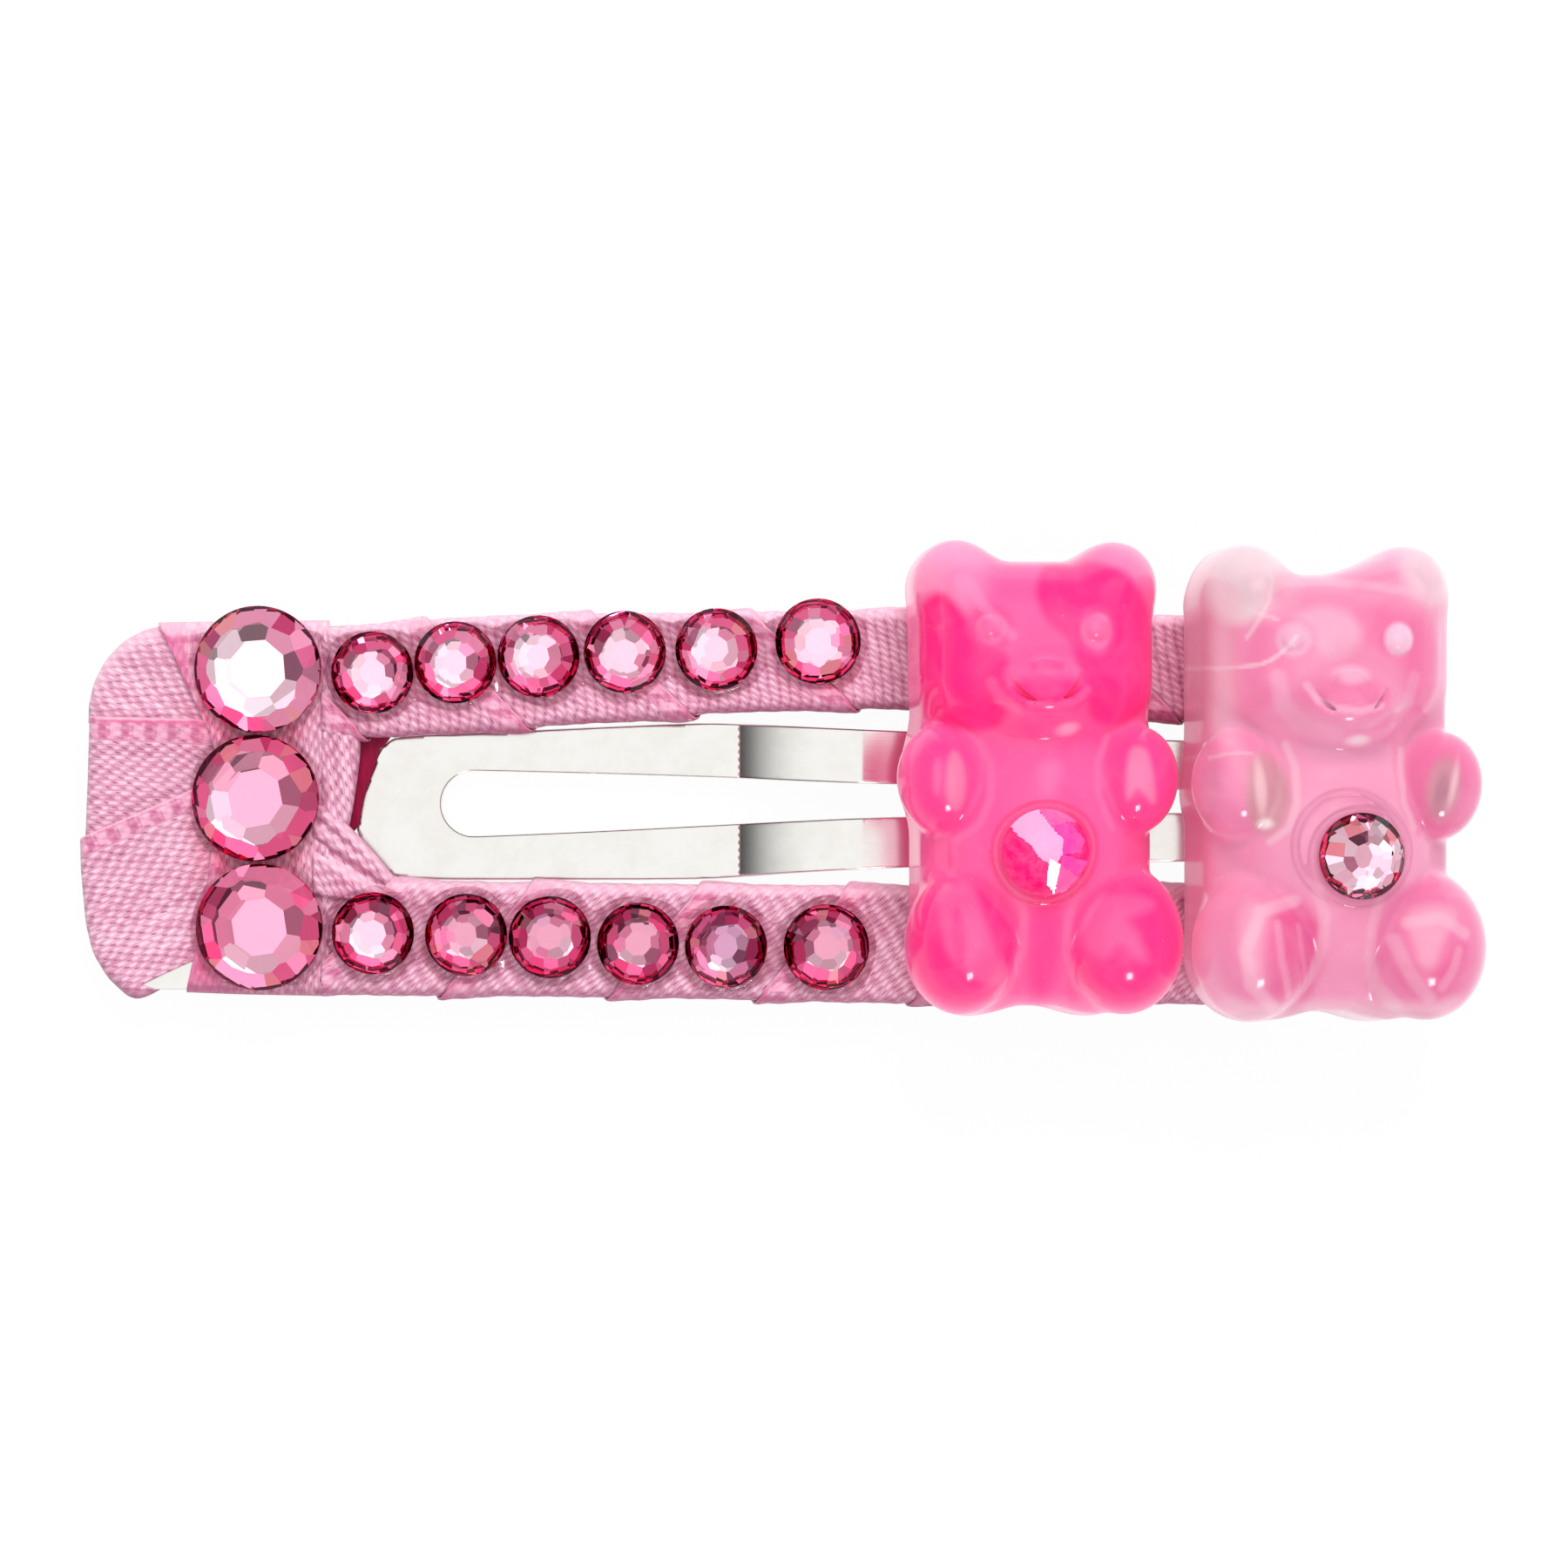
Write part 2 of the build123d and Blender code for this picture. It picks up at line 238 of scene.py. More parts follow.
def densify(pts, step, closed=True):
    out = []
    n = len(pts)
    for i in range(n if closed else n - 1):
        p, q = np.array(pts[i], float), np.array(pts[(i + 1) % n], float)
        k = max(1, int(math.ceil(np.linalg.norm(q - p) / step)))
        for j in range(k):
            out.append(p + (q - p) * j / k)
    if not closed:
        out.append(np.array(pts[-1], float))
    return np.array(out)


def inside(P, poly):
    poly = np.asarray(poly, float)
    r = np.zeros(len(P), bool)
    j = len(poly) - 1
    for i in range(len(poly)):
        xi, yi = poly[i]
        xj, yj = poly[j]
        c = ((yi > P[:, 1]) != (yj > P[:, 1])) & (
            P[:, 0] < (xj - xi) * (P[:, 1] - yi) / (yj - yi + 1e-12) + xi)
        r ^= c
        j = i
    return r


def seg_dist(P, line, closed=False):
    """distance of 2D points to a polyline"""
    line = np.asarray(line, float)
    best = np.full(len(P), 1e9)
    n = len(line)
    for i in range(n if closed else n - 1):
        a, b = line[i], line[(i + 1) % n]
        ab = b - a
        t = np.clip(((P - a) @ ab) / max(ab @ ab, 1e-12), 0, 1)
        best = np.minimum(best, np.linalg.norm(P - (a + t[:, None] * ab), axis=1))
    return best


def fill2d(poly, step):
    """Fine triangle mesh of a polygon. Returns points, triangles, ordered boundary indices."""
    B = densify(poly, step)
    lo, hi = B.min(0), B.max(0)
    gx = np.arange(lo[0], hi[0], step)
    gy = np.arange(lo[1], hi[1], step * 0.87)
    X, Y = np.meshgrid(gx, gy)
    X[1::2] += step / 2
    P = np.c_[X.ravel(), Y.ravel()]
    P = P[inside(P, B)]
    P = P[seg_dist(P, B, True) > step * 0.5]
    A = np.vstack([B, P])
    nb = len(B)
    co, _, faces, ov, _, _ = delaunay_2d_cdt(
        [Vector(p) for p in A], [(i, (i + 1) % nb) for i in range(nb)], [], 1, 1e-7)
    co = np.array([tuple(c) for c in co])
    back = {}
    for new, olds in enumerate(ov):
        for o in olds:
            back[o] = new
    bound = [back[i] for i in range(nb)]
    return co, [tuple(f) for f in faces], bound


def pillow(poly, ztop, zlow, step=0.14):
    """Closed solid between two height functions over a polygon."""
    P, T, bd = fill2d(poly, step)
    n = len(P)
    V = np.vstack([np.c_[P, ztop(P)], np.c_[P, zlow(P)]])
    F = [t for t in T] + [tuple(n + i for i in reversed(t)) for t in T]
    for i in range(len(bd)):
        a, b = bd[i], bd[(i + 1) % len(bd)]
        F.append((a, n + a, n + b, b))
    return V, F, P


def smin(a, b, k):
    h = np.clip(0.5 + 0.5 * (b - a) / k, 0, 1)
    return b + (a - b) * h - k * h * (1 - h)


def smax(a, b, k):
    return -smin(-a, -b, k)


def surface_nets(f, lo, hi, h, project=2):
    """Smooth closed mesh of f(P) = 0 over a box, with cell size h; f is negative inside."""
    ax = [np.arange(lo[i], hi[i] + h, h) for i in range(3)]
    G = np.stack(np.meshgrid(*ax, indexing="ij"), -1)
    D = f(G)
    neg = D < 0
    s = [k - 1 for k in D.shape]
    count = np.zeros(s, np.int8)
    for a in (0, 1):
        for b in (0, 1):
            for c in (0, 1):
                count += neg[a:a + s[0], b:b + s[1], c:c + s[2]]
    act = (count > 0) & (count < 8)
    idx = np.full(act.shape, -1, np.int64)
    I = np.argwhere(act)
    idx[act] = np.arange(len(I))
    acc = np.zeros((len(I), 3))
    cnt = np.zeros(len(I))
    eye = np.eye(3, dtype=int)
    for axis in range(3):
        o1, o2 = [k for k in range(3) if k != axis]
        for b in (0, 1):
            for c in (0, 1):
                p0 = I + b * eye[o1] + c * eye[o2]
                p1 = p0 + eye[axis]
                f0 = D[p0[:, 0], p0[:, 1], p0[:, 2]]
                f1 = D[p1[:, 0], p1[:, 1], p1[:, 2]]
                m = (f0 < 0) != (f1 < 0)
                t = np.where(m, f0 / np.where(m, f0 - f1, 1), 0)
                acc[m] += p0[m] + t[m, None] * eye[axis]
                cnt[m] += 1
    V = np.array(lo) + h * acc / np.maximum(cnt, 1)[:, None]
    F = []
    for axis in range(3):
        o1, o2 = (axis + 1) % 3, (axis + 2) % 3
        sl0 = [slice(None)] * 3
        sl1 = [slice(None)] * 3
        sl0[axis] = slice(0, -1)
        sl1[axis] = slice(1, None)
        a, b = neg[tuple(sl0)], neg[tuple(sl1)]
        E = np.argwhere(a != b)
        ok = (E[:, o1] > 0) & (E[:, o2] > 0) & (E[:, o1] < s[o1]) & (E[:, o2] < s[o2])
        E = E[ok]
        flip = b[E[:, 0], E[:, 1], E[:, 2]]
        q = [E - eye[o1] - eye[o2], E - eye[o2], E, E - eye[o1]]
        q = np.stack([idx[k[:, 0], k[:, 1], k[:, 2]] for k in q], 1)
        q[flip] = q[flip][:, ::-1]
        F.append(q)
    F = np.vstack(F)
    F = F[(F >= 0).all(1)]
    e = h * 0.25
    for _ in range(project):
        d = f(V)
        g = np.stack([f(V + e * eye[k]) - f(V - e * eye[k]) for k in range(3)], 1) / (2 * e)
        g2 = np.maximum((g * g).sum(1), 1e-3)
        V = V - np.clip(d / g2, -h * 0.6, h * 0.6)[:, None] * g
    return V, F


# ============================================================== materials
def metal_material(name, tint=(0.965, 0.955, 0.92), rough=0.15, brush=1.0, warm=(0.93, 0.905, 0.86)):
    g = Nodes(name)
    p = g.obj()
    st = g.node("ShaderNodeMapping")
    g.put(st.inputs["Vector"], p)
    st.inputs["Scale"].default_value = (0.35, 9.0, 2.0)
    fine = g.noise(st.outputs[0], 2.2, 4.0, 0.6)
    mott = g.noise(p, 0.8, 4.0, 0.65)
    spots = g.node("ShaderNodeTexVoronoi", {"Scale": 3.2, "Randomness": 1.0})
    g.put(spots.inputs["Vector"], p)
    speck = g.ss(spots.outputs["Distance"], 0.0, 0.09, 1.0, 0.0)
    col = g.mix(g.ss(mott, 0.35, 0.7), (*tint, 1), (*warm, 1))
    col = g.mix(g.m("MULTIPLY", speck, 0.12), col, (0.35, 0.30, 0.26, 1))
    r = g.m("ADD", g.m("MULTIPLY", fine, 0.10), rough - 0.04)
    r = g.m("ADD", r, g.m("MULTIPLY", mott, 0.06))
    nrm = g.bump(fine, 0.16 * brush, 0.01)
    s = g.principled(Base_Color=col, Metallic=1.0, Roughness=r, Normal=nrm)
    s.inputs["Anisotropic"].default_value = 0.4
    return g.done(s.outputs[0])


def ribbon_material():
    g = Nodes("satin_ribbon_weave")
    uv = g.node("ShaderNodeUVMap", uv_map="rib")
    sep = g.node("ShaderNodeSeparateXYZ")
    g.put(sep.inputs[0], uv.outputs[0])
    u, v = sep.outputs[0], sep.outputs[1]
    p = g.obj()
    wob = g.noise(p, 1.1, 2.0, 0.5)
    u2 = g.m("ADD", u, g.m("MULTIPLY", g.m("SUBTRACT", wob, 0.5), 0.14))
    pitch = 0.185
    k = g.m("DIVIDE", u2, pitch)
    row = g.m("FLOOR", k)
    ru = g.m("FRACT", k)
    crest = g.m("SINE", g.m("MULTIPLY", ru, math.pi))
    wn = g.node("ShaderNodeTexWhiteNoise", noise_dimensions="1D")
    g.put(wn.inputs["W"], row)
    jit = wn.outputs["Value"]
    wv = g.noise(p, 2.3, 2.0, 0.5)
    t = g.m("FRACT", g.m("ADD", g.m("ADD", g.m("DIVIDE", v, 0.58), g.m("MULTIPLY", wv, 0.40)),
                         g.m("ADD", g.m("MULTIPLY", row, 0.37), g.m("MULTIPLY", jit, 0.16))))
    dash = g.m("MULTIPLY", g.ss(t, 0.02, 0.20), g.ss(t, 0.34, 0.56, 1.0, 0.0))
    off = g.m("ADD", 0.5, g.m("MULTIPLY", g.m("SUBTRACT", t, 0.28), 0.7))
    narrow = g.ss(g.m("ABSOLUTE", g.m("SUBTRACT", ru, off)), 0.06, 0.34, 1.0, 0.0)
    some = g.ss(g.noise(p, 3.1, 2.0, 0.6), 0.30, 0.62, 0.60, 1.0)
    dark = g.m("MULTIPLY", g.m("MULTIPLY", dash, some), narrow)
    gap = g.m("MULTIPLY", g.m("POWER", g.m("SUBTRACT", 1.0, crest), 1.6), 0.40)
    # fine fibres inside each float, shown as painted sheen and shade: lighter and darker streaks along the threads
    comb = g.node("ShaderNodeCombineXYZ")
    g.put(comb.inputs[0], g.m("MULTIPLY", u2, 19.0))
    g.put(comb.inputs[1], g.m("MULTIPLY", v, 1.9))
    fibre = g.noise(comb.outputs[0], 1.0, 3.0, 0.7)
    streak = g.ss(fibre, 0.52, 0.74)
    # slow shimmer across the threads, as satin catches the light in bands
    comb2 = g.node("ShaderNodeCombineXYZ")
    g.put(comb2.inputs[0], g.m("MULTIPLY", u2, 2.6))
    g.put(comb2.inputs[1], g.m("MULTIPLY", v, 0.45))
    shim = g.noise(comb2.outputs[0], 1.0, 3.0, 0.65)
    # painted shade: the dark dashes, the grooves between thread rows and the darker fibres, mixed towards deep
    shade = g.m("ADD", g.m("ADD", g.m("MULTIPLY", dark, 0.80), gap),
                g.m("MULTIPLY", g.m("SUBTRACT", 0.52, fibre), 0.50), clamp=True)
    light = lin(230, 180, 202)
    mid = lin(208, 144, 172)
    deep = lin(150, 62, 102)
    col = g.mix(g.ss(shim, 0.34, 0.66), light, mid)
    col = g.mix(g.ss(g.noise(p, 0.42, 3.0, 0.6), 0.40, 0.72, 0.0, 0.5), col, mid)
    col = g.mix(g.m("MULTIPLY", g.m("SUBTRACT", jit, 0.3), 0.35, clamp=True), col, deep)
    col = g.mix(shade, col, deep)
    # painted highlight: light dashes on the thread crests
    bright = g.m("MULTIPLY", g.m("MULTIPLY", g.ss(t, 0.50, 0.62), g.ss(t, 0.84, 0.98, 1.0, 0.0)), g.m("POWER", crest, 1.5))
    col = g.mix(g.m("MULTIPLY", g.m("MULTIPLY", bright, some), 0.46), col, lin(255, 224, 238))
    # painted sheen: lighter streaks along the fibres
    col = g.mix(g.m("MULTIPLY", streak, 0.35), col, lin(255, 222, 236))
    # selvedge: a saturated edge with raised picot blocks, the blocks lightened with painted highlight and the gaps
    # after them darkened with painted shade
    edge = g.ss(u, 0.62, 0.80, 1.0, 0.0)
    rim = g.ss(u, 0.05, 0.16, 1.0, 0.0)
    tb = g.m("FRACT", g.m("DIVIDE", v, 0.86))
    block = g.m("MULTIPLY", g.ss(tb, 0.06, 0.16), g.ss(tb, 0.50, 0.62, 1.0, 0.0))
    block = g.m("MULTIPLY", block, g.m("MULTIPLY", g.ss(u, 0.14, 0.22), g.ss(u, 0.56, 0.66, 1.0, 0.0)))
    groove = g.m("MULTIPLY", g.ss(tb, 0.60, 0.66), g.ss(tb, 0.84, 0.98, 1.0, 0.0))
    groove = g.m("MULTIPLY", groove, edge)
    col = g.mix(g.m("MULTIPLY", edge, 0.34), col, lin(222, 112, 160))
    col = g.mix(g.m("MULTIPLY", block, 0.42), col, lin(246, 192, 214))
    col = g.mix(g.m("MULTIPLY", groove, 0.42), col, lin(176, 72, 122))
    col = g.mix(g.m("MULTIPLY", rim, 0.55), col, lin(206, 84, 138))
    geo = g.node("ShaderNodeNewGeometry")
    sn = g.node("ShaderNodeSeparateXYZ")
    g.put(sn.inputs[0], geo.outputs["Normal"])
    # painted shade and light: faces turned towards -Y or downwards are darkened, faces turned towards +Y lightened
    low = g.m("ADD", g.ss(sn.outputs[1], -0.08, -0.75, 0.0, 0.60), g.ss(sn.outputs[2], 0.75, 0.05, 0.0, 0.40), clamp=True)
    col = g.mix(low, col, lin(150, 66, 104))
    col = g.mix(g.ss(sn.outputs[1], -0.04, 0.45, 0.0, 0.55), col, lin(248, 204, 222))
    hgt = g.m("ADD", g.m("MULTIPLY", crest, 0.6), g.m("MULTIPLY", dark, -0.9))
    hgt = g.m("ADD", hgt, g.m("MULTIPLY", block, 2.2))
    hgt = g.m("ADD", hgt, g.m("MULTIPLY", groove, -1.0))
    nrm = g.bump(hgt, 0.55, 0.025)
    s = g.principled(Base_Color=col, Roughness=g.m("ADD", 0.40, g.m("MULTIPLY", shade, 0.25)),
                     Normal=nrm)
    s.inputs["Specular IOR Level"].default_value = 0.45
    s.inputs["Anisotropic"].default_value = 0.55
    tg = g.node("ShaderNodeTangent", direction_type="UV_MAP", uv_map="rib")
    g.put(s.inputs["Tangent"], tg.outputs[0])
    s.inputs["Sheen Weight"].default_value = 0.25
    s.inputs["Sheen Roughness"].default_value = 0.4
    s.inputs["Sheen Tint"].default_value = lin(255, 214, 230)
    return g.done(s.outputs[0])


def stone_material(name, tint, clear=0.0):
    g = Nodes(name)
    s = g.node("ShaderNodeBsdfGlass", {"Color": tint, "Roughness": 0.0, "IOR": 1.56})
    # shadow rays pass, tinted, so the foil and the film under a stone stay lit
    lp = g.node("ShaderNodeLightPath")
    tr = g.node("ShaderNodeBsdfTransparent", {"Color": tint})
    mx = g.node("ShaderNodeMixShader")
    g.put(mx.inputs[0], lp.outputs["Is Shadow Ray"])
    g.put(mx.inputs[1], s.outputs[0])
    g.put(mx.inputs[2], tr.outputs[0])
    return g.done(mx.outputs[0])


def foil_material():
    g = Nodes("mirror_foil")
    p = g.obj()
    n1 = g.noise(p, 5.0, 3.0, 0.6)
    col = g.mix(n1, (0.92, 0.86, 0.88, 1), (0.98, 0.94, 0.95, 1))
    s = g.principled(Base_Color=col, Metallic=1.0,
                     Roughness=0.0)
    return g.done(s.outputs[0])


def glue_material(name="clear_adhesive", tint=(0.945, 0.86, 0.89), milky=0.05, rough=0.06):
    g = Nodes(name)
    p = g.obj()
    n1 = g.noise(p, 1.6, 3.0, 0.55)
    n2 = g.noise(p, 9.0, 2.0, 0.5)
    nrm = g.bump(g.m("ADD", n1, g.m("MULTIPLY", n2, 0.12)), 0.25, 0.08)
    tr = g.node("ShaderNodeBsdfTransparent", {"Color": (*tint, 1)})
    gl = g.node("ShaderNodeBsdfGlossy", {"Color": (1, 1, 1, 1), "Roughness": rough})
    g.put(gl.inputs["Normal"], nrm)
    fr = g.node("ShaderNodeFresnel", {"IOR": 1.45})
    g.put(fr.inputs["Normal"], nrm)
    df = g.node("ShaderNodeBsdfDiffuse", {"Color": lin(205, 120, 150)})
    g.put(df.inputs["Normal"], nrm)
    m0 = g.node("ShaderNodeMixShader")
    g.put(m0.inputs[0], g.m("MULTIPLY", g.ss(n1, 0.3, 0.8), milky))
    g.put(m0.inputs[1], tr.outputs[0])
    g.put(m0.inputs[2], df.outputs[0])
    mx = g.node("ShaderNodeMixShader")
    g.put(mx.inputs[0], g.m("MINIMUM", fr.outputs[0], 0.16))
    g.put(mx.inputs[1], m0.outputs[0])
    g.put(mx.inputs[2], gl.outputs[0])
    return g.done(mx.outputs[0])


def resin_material(name, rim, core, clear_col, rim_power=0.6):
    """Cast resin: painted depth colours under a clear polished skin, with milky swirls and a painted rim of light at
    grazing angles.
    """
    g = Nodes(name)
    col = g.attr("tint")
    clear = g.attr("clear", "Fac")
    dull = g.attr("dull", "Fac")
    p = g.obj()
    # milky swirls and tiny bubbles
    sw = g.noise(p, 0.45, 3.0, 0.55, 1.4)
    col = g.mix(g.ss(sw, 0.42, 0.75, 0.0, 0.12), col, rim)
    vo = g.node("ShaderNodeTexVoronoi", {"Scale": 1.7, "Randomness": 1.0})
    g.put(vo.inputs["Vector"], p)
    bub = g.ss(vo.outputs["Distance"], 0.0, 0.06, 1.0, 0.0)
    col = g.mix(g.m("MULTIPLY", bub, 0.35), col, lin(255, 225, 238))
    # painted rim light: paler towards grazing angles
    lw = g.node("ShaderNodeLayerWeight", {"Blend": 0.35})
    graz = g.ss(lw.outputs["Facing"], 0.45, 1.0)
    col = g.mix(g.m("MULTIPLY", graz, rim_power), col, rim)
    n2 = g.noise(p, 2.4, 3.0, 0.5)
    nrm = g.bump(n2, 0.10, 0.05)
    # painted glow: the base is darkened and the tint is added back as emission, standing in for light passing through
    # the resin
    s = g.principled(Base_Color=g.mix(0.22, col, (0, 0, 0, 1)), Roughness=g.m("ADD", 0.15, g.m("MULTIPLY", dull, 0.5)),
                     Normal=nrm)
    g.put(s.inputs["Emission Color"], col)
    s.inputs["Emission Strength"].default_value = 0.24
    s.inputs["Subsurface Weight"].default_value = 0.5
    s.inputs["Subsurface Radius"].default_value = (1.0, 0.35, 0.5)
    s.inputs["Subsurface Scale"].default_value = 0.45 * MM
    g.put(s.inputs["Specular IOR Level"], g.m("SUBTRACT", 0.32, g.m("MULTIPLY", dull, 0.24)))
    g.put(s.inputs["Coat Weight"], g.m("MULTIPLY", g.m("SUBTRACT", 1.0, dull), 0.15))
    s.inputs["Coat Roughness"].default_value = 0.05
    # clear zones: see-through skin with the same gloss
    tr = g.node("ShaderNodeBsdfTransparent", {"Color": clear_col})
    gl = g.node("ShaderNodeBsdfGlossy", {"Color": (1, 1, 1, 1), "Roughness": 0.06})
    g.put(gl.inputs["Normal"], nrm)
    fr = g.node("ShaderNodeFresnel", {"IOR": 1.5})
    g.put(fr.inputs["Normal"], nrm)
    m0 = g.node("ShaderNodeMixShader")
    g.put(m0.inputs[0], fr.outputs[0])
    g.put(m0.inputs[1], tr.outputs[0])
    g.put(m0.inputs[2], gl.outputs[0])
    mx = g.node("ShaderNodeMixShader")
    g.put(mx.inputs[0], g.m("MULTIPLY", clear, g.ss(sw, 0.2, 0.7, 1.0, 0.75), clamp=True))
    g.put(mx.inputs[1], s.outputs[0])
    g.put(mx.inputs[2], m0.outputs[0])
    return g.done(mx.outputs[0])


M_STEEL = metal_material("nickel_spring_steel")
M_RIVET = metal_material("nickel_rivet", (0.90, 0.88, 0.84), 0.24, 0.6)
M_RIB = ribbon_material()
M_FOIL = foil_material()
M_GLUE = glue_material()
M_PAD = glue_material("bear_adhesive", (0.96, 0.88, 0.91), 0.1)

# ============================================================== steel parts
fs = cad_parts["frame_spring"]
fs.data.materials.clear()
fs.data.materials.append(M_STEEL)
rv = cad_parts["rear_rivets"]
rv.data.materials.clear()
rv.data.materials.append(M_RIVET)
for ob, w in ((fs, 0.07), (rv, 0.03)):
    wd = ob.modifiers.new("weld", "WELD")
    wd.merge_threshold = 1e-6
    bv = ob.modifiers.new("bevel", "BEVEL")
    bv.width = w * MM
    bv.segments = 2
    bv.limit_method = "ANGLE"
    bv.angle_limit = math.radians(40)
    bv.harden_normals = True

BEND_X, RAMP_X = -1.45, 2.83
Z_LOW, Z_ROOT = 0.30, 1.25           # mid-planes of the blade and of the root strands


def side_curve():
    """Mid-line of the tongue's side profile: x samples, z and slope."""
    x = np.linspace(-17, 18, 3501)
    z = np.full_like(x, Z_LOW)
    t = np.linspace(0, 1, 400)
    # sharp break at the blade, easing into the root plane
    p0, p1, p2, p3 = (BEND_X - 0.10, Z_LOW), (BEND_X + 0.95, Z_LOW + 0.52), \
        (RAMP_X - 1.7, Z_ROOT), (RAMP_X, Z_ROOT)
    bx = (1 - t) ** 3 * p0[0] + 3 * (1 - t) ** 2 * t * p1[0] + 3 * (1 - t) * t ** 2 * p2[0] + t ** 3 * p3[0]
    bz = (1 - t) ** 3 * p0[1] + 3 * (1 - t) ** 2 * t * p1[1] + 3 * (1 - t) * t ** 2 * p2[1] + t ** 3 * p3[1]
    m = (x > p0[0]) & (x < p3[0])
    z[m] = np.interp(x[m], bx, bz)
    z[x >= p3[0]] = Z_ROOT
    # past the crease the strands dip slightly before they level out under the castings
    m = (x > RAMP_X) & (x < 9.0)
    z[m] -= np.interp(x[m], [RAMP_X, RAMP_X + 1.9, 9.0], [0, 0.26, 0])
    k = np.ones(9) / 9
    z[20:-20] = np.convolve(z, k, "same")[20:-20]
    s = np.gradient(z, x)
    return x, z, s


def build_tongue():
    up = [(-15.82, -1.01), (-15.67, -0.63), (-15.46, -0.05), (-15.17, 0.60), (-15.05, 1.11),
          (-14.66, 1.53), (-14.20, 1.74), (-11.0, 1.87), (-7.0, 2.05), (-3.22, 2.22),
          (BEND_X, 2.17), (0.00, 2.10), (3.21, 1.94), (8.0, 1.77), (14.28, 1.56), (17.16, 1.49)]
    up_in = [(17.16, -0.30), (14.28, -0.27), (8.0, -0.15), (3.21, -0.05), (0.00, 0.08),
             (BEND_X, 0.15), (-3.22, 0.21), (-6.44, 0.31), (-11.30, 0.43)]
    nose = [(-11.46 - 1.2 * math.sin(a), -0.77 + 1.2 * math.cos(a))
            for a in np.linspace(0.12, math.pi - 0.12, 24)]
    lo_in = [(-11.30, -1.97), (-6.44, -1.76), (-3.22, -1.59), (BEND_X, -1.50), (0.00, -1.43),
             (3.21, -1.27), (8.0, -1.19), (14.28, -1.11), (17.16, -1.07)]
    lo = [(17.16, -2.90), (14.28, -2.90), (8.0, -3.03), (3.21, -3.16), (0.00, -3.35),
          (BEND_X, -3.48), (-3.22, -3.59), (-9.0, -3.60), (-14.05, -3.60), (-14.68, -3.35),
          (-15.33, -2.79), (-15.82, -1.82)]
    pts = up + up_in + nose + lo_in + lo
    # round the outline's vertices a little, but keep the root ends square
    keep = [len(up) - 1, len(up), len(up) + len(up_in) + len(nose) + len(lo_in) - 1,
            len(up) + len(up_in) + len(nose) + len(lo_in)]
    pts = chaikin(pts, 2, keep)
    b = 0.07
    half = SHEET / 2
    P, T, bd = fill2d(pts, 0.16)
    n = len(P)
    # shrink the two faces inwards by the edge radius, to leave a rounded rim
    Bp = P[bd]
    nxt = np.roll(Bp, -1, 0) - Bp
    prv = Bp - np.roll(Bp, 1, 0)
    tng = nxt / np.maximum(np.linalg.norm(nxt, axis=1), 1e-9)[:, None] + \
        prv / np.maximum(np.linalg.norm(prv, axis=1), 1e-9)[:, None]
    tng /= np.maximum(np.linalg.norm(tng, axis=1), 1e-9)[:, None]
    nrm = np.c_[tng[:, 1], -tng[:, 0]]
    area = 0.5 * np.sum(Bp[:, 0] * np.roll(Bp[:, 1], -1) - np.roll(Bp[:, 0], -1) * Bp[:, 1])
    if area < 0:
        nrm = -nrm
    d = seg_dist(P, Bp, True)
    near = d < 0.14
    face = P.copy()
    face[bd] = P[bd] - nrm * b
    V, F = [], []
    top = np.c_[face, np.full(n, half)]
    low = np.c_[face, np.full(n, -half)]
    V = [top, low]
    F = [t for t in T] + [tuple(n + i for i in reversed(t)) for t in T]
    rings = [[i for i in bd]]
    base = 2 * n
    for ang in (30, 60, 90):
        a = math.radians(ang)
        V.append(np.c_[P[bd] - nrm * b * (1 - math.sin(a)), np.full(len(bd), half - b * (1 - math.cos(a)))])
        rings.append(list(range(base, base + len(bd))))
        base += len(bd)
    for ang in (90, 60, 30):
        a = math.radians(ang)
        V.append(np.c_[P[bd] - nrm * b * (1 - math.sin(a)), np.full(len(bd), -half + b * (1 - math.cos(a)))])
        rings.append(list(range(base, base + len(bd))))
        base += len(bd)
    rings.append([n + i for i in bd])
    for r0, r1 in zip(rings[:-1], rings[1:]):
        for i in range(len(bd)):
            j = (i + 1) % len(bd)
            F.append((r0[i], r1[i], r1[j], r0[j]))
    V = np.vstack(V)
    bm = bmesh.new()
    vs = [bm.verts.new(p) for p in V]
    for f in F:
        bm.faces.new([vs[i] for i in f])
    for x in [BEND_X - 0.16 + 0.04 * i for i in range(9)] + [BEND_X + 0.3 + 0.15 * i for i in range(24)] \
            + [RAMP_X - 0.12 + 0.04 * i for i in range(7)] + [RAMP_X + 0.3 + 0.25 * i for i in range(12)]:
        bmesh.ops.bisect_plane(bm, geom=bm.verts[:] + bm.edges[:] + bm.faces[:], dist=1e-5,
                               plane_co=(x, 0, 0), plane_no=(1, 0, 0))
    bm.verts.ensure_lookup_table()
    bm.verts.index_update()
    V = np.array([tuple(v.co) for v in bm.verts])
    F = [[v.index for v in f.verts] for f in bm.faces]
    bm.free()
    cx, cz, cs = side_curve()
    z0 = np.interp(V[:, 0], cx, cz)
    sl = np.interp(V[:, 0], cx, cs)
    ln = np.sqrt(1 + sl ** 2)
    w = V[:, 2].copy()
    V = np.c_[V[:, 0] - sl / ln * w, V[:, 1], z0 + w / ln]
    ob = add_mesh("tongue_spring_sheet", V, F, M_STEEL, body=None, nodes=("tongue_spring",))
    wn = ob.modifiers.new("wn", "WEIGHTED_NORMAL")
    wn.keep_sharp = False
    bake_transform(ob)
    return ob


build_tongue()


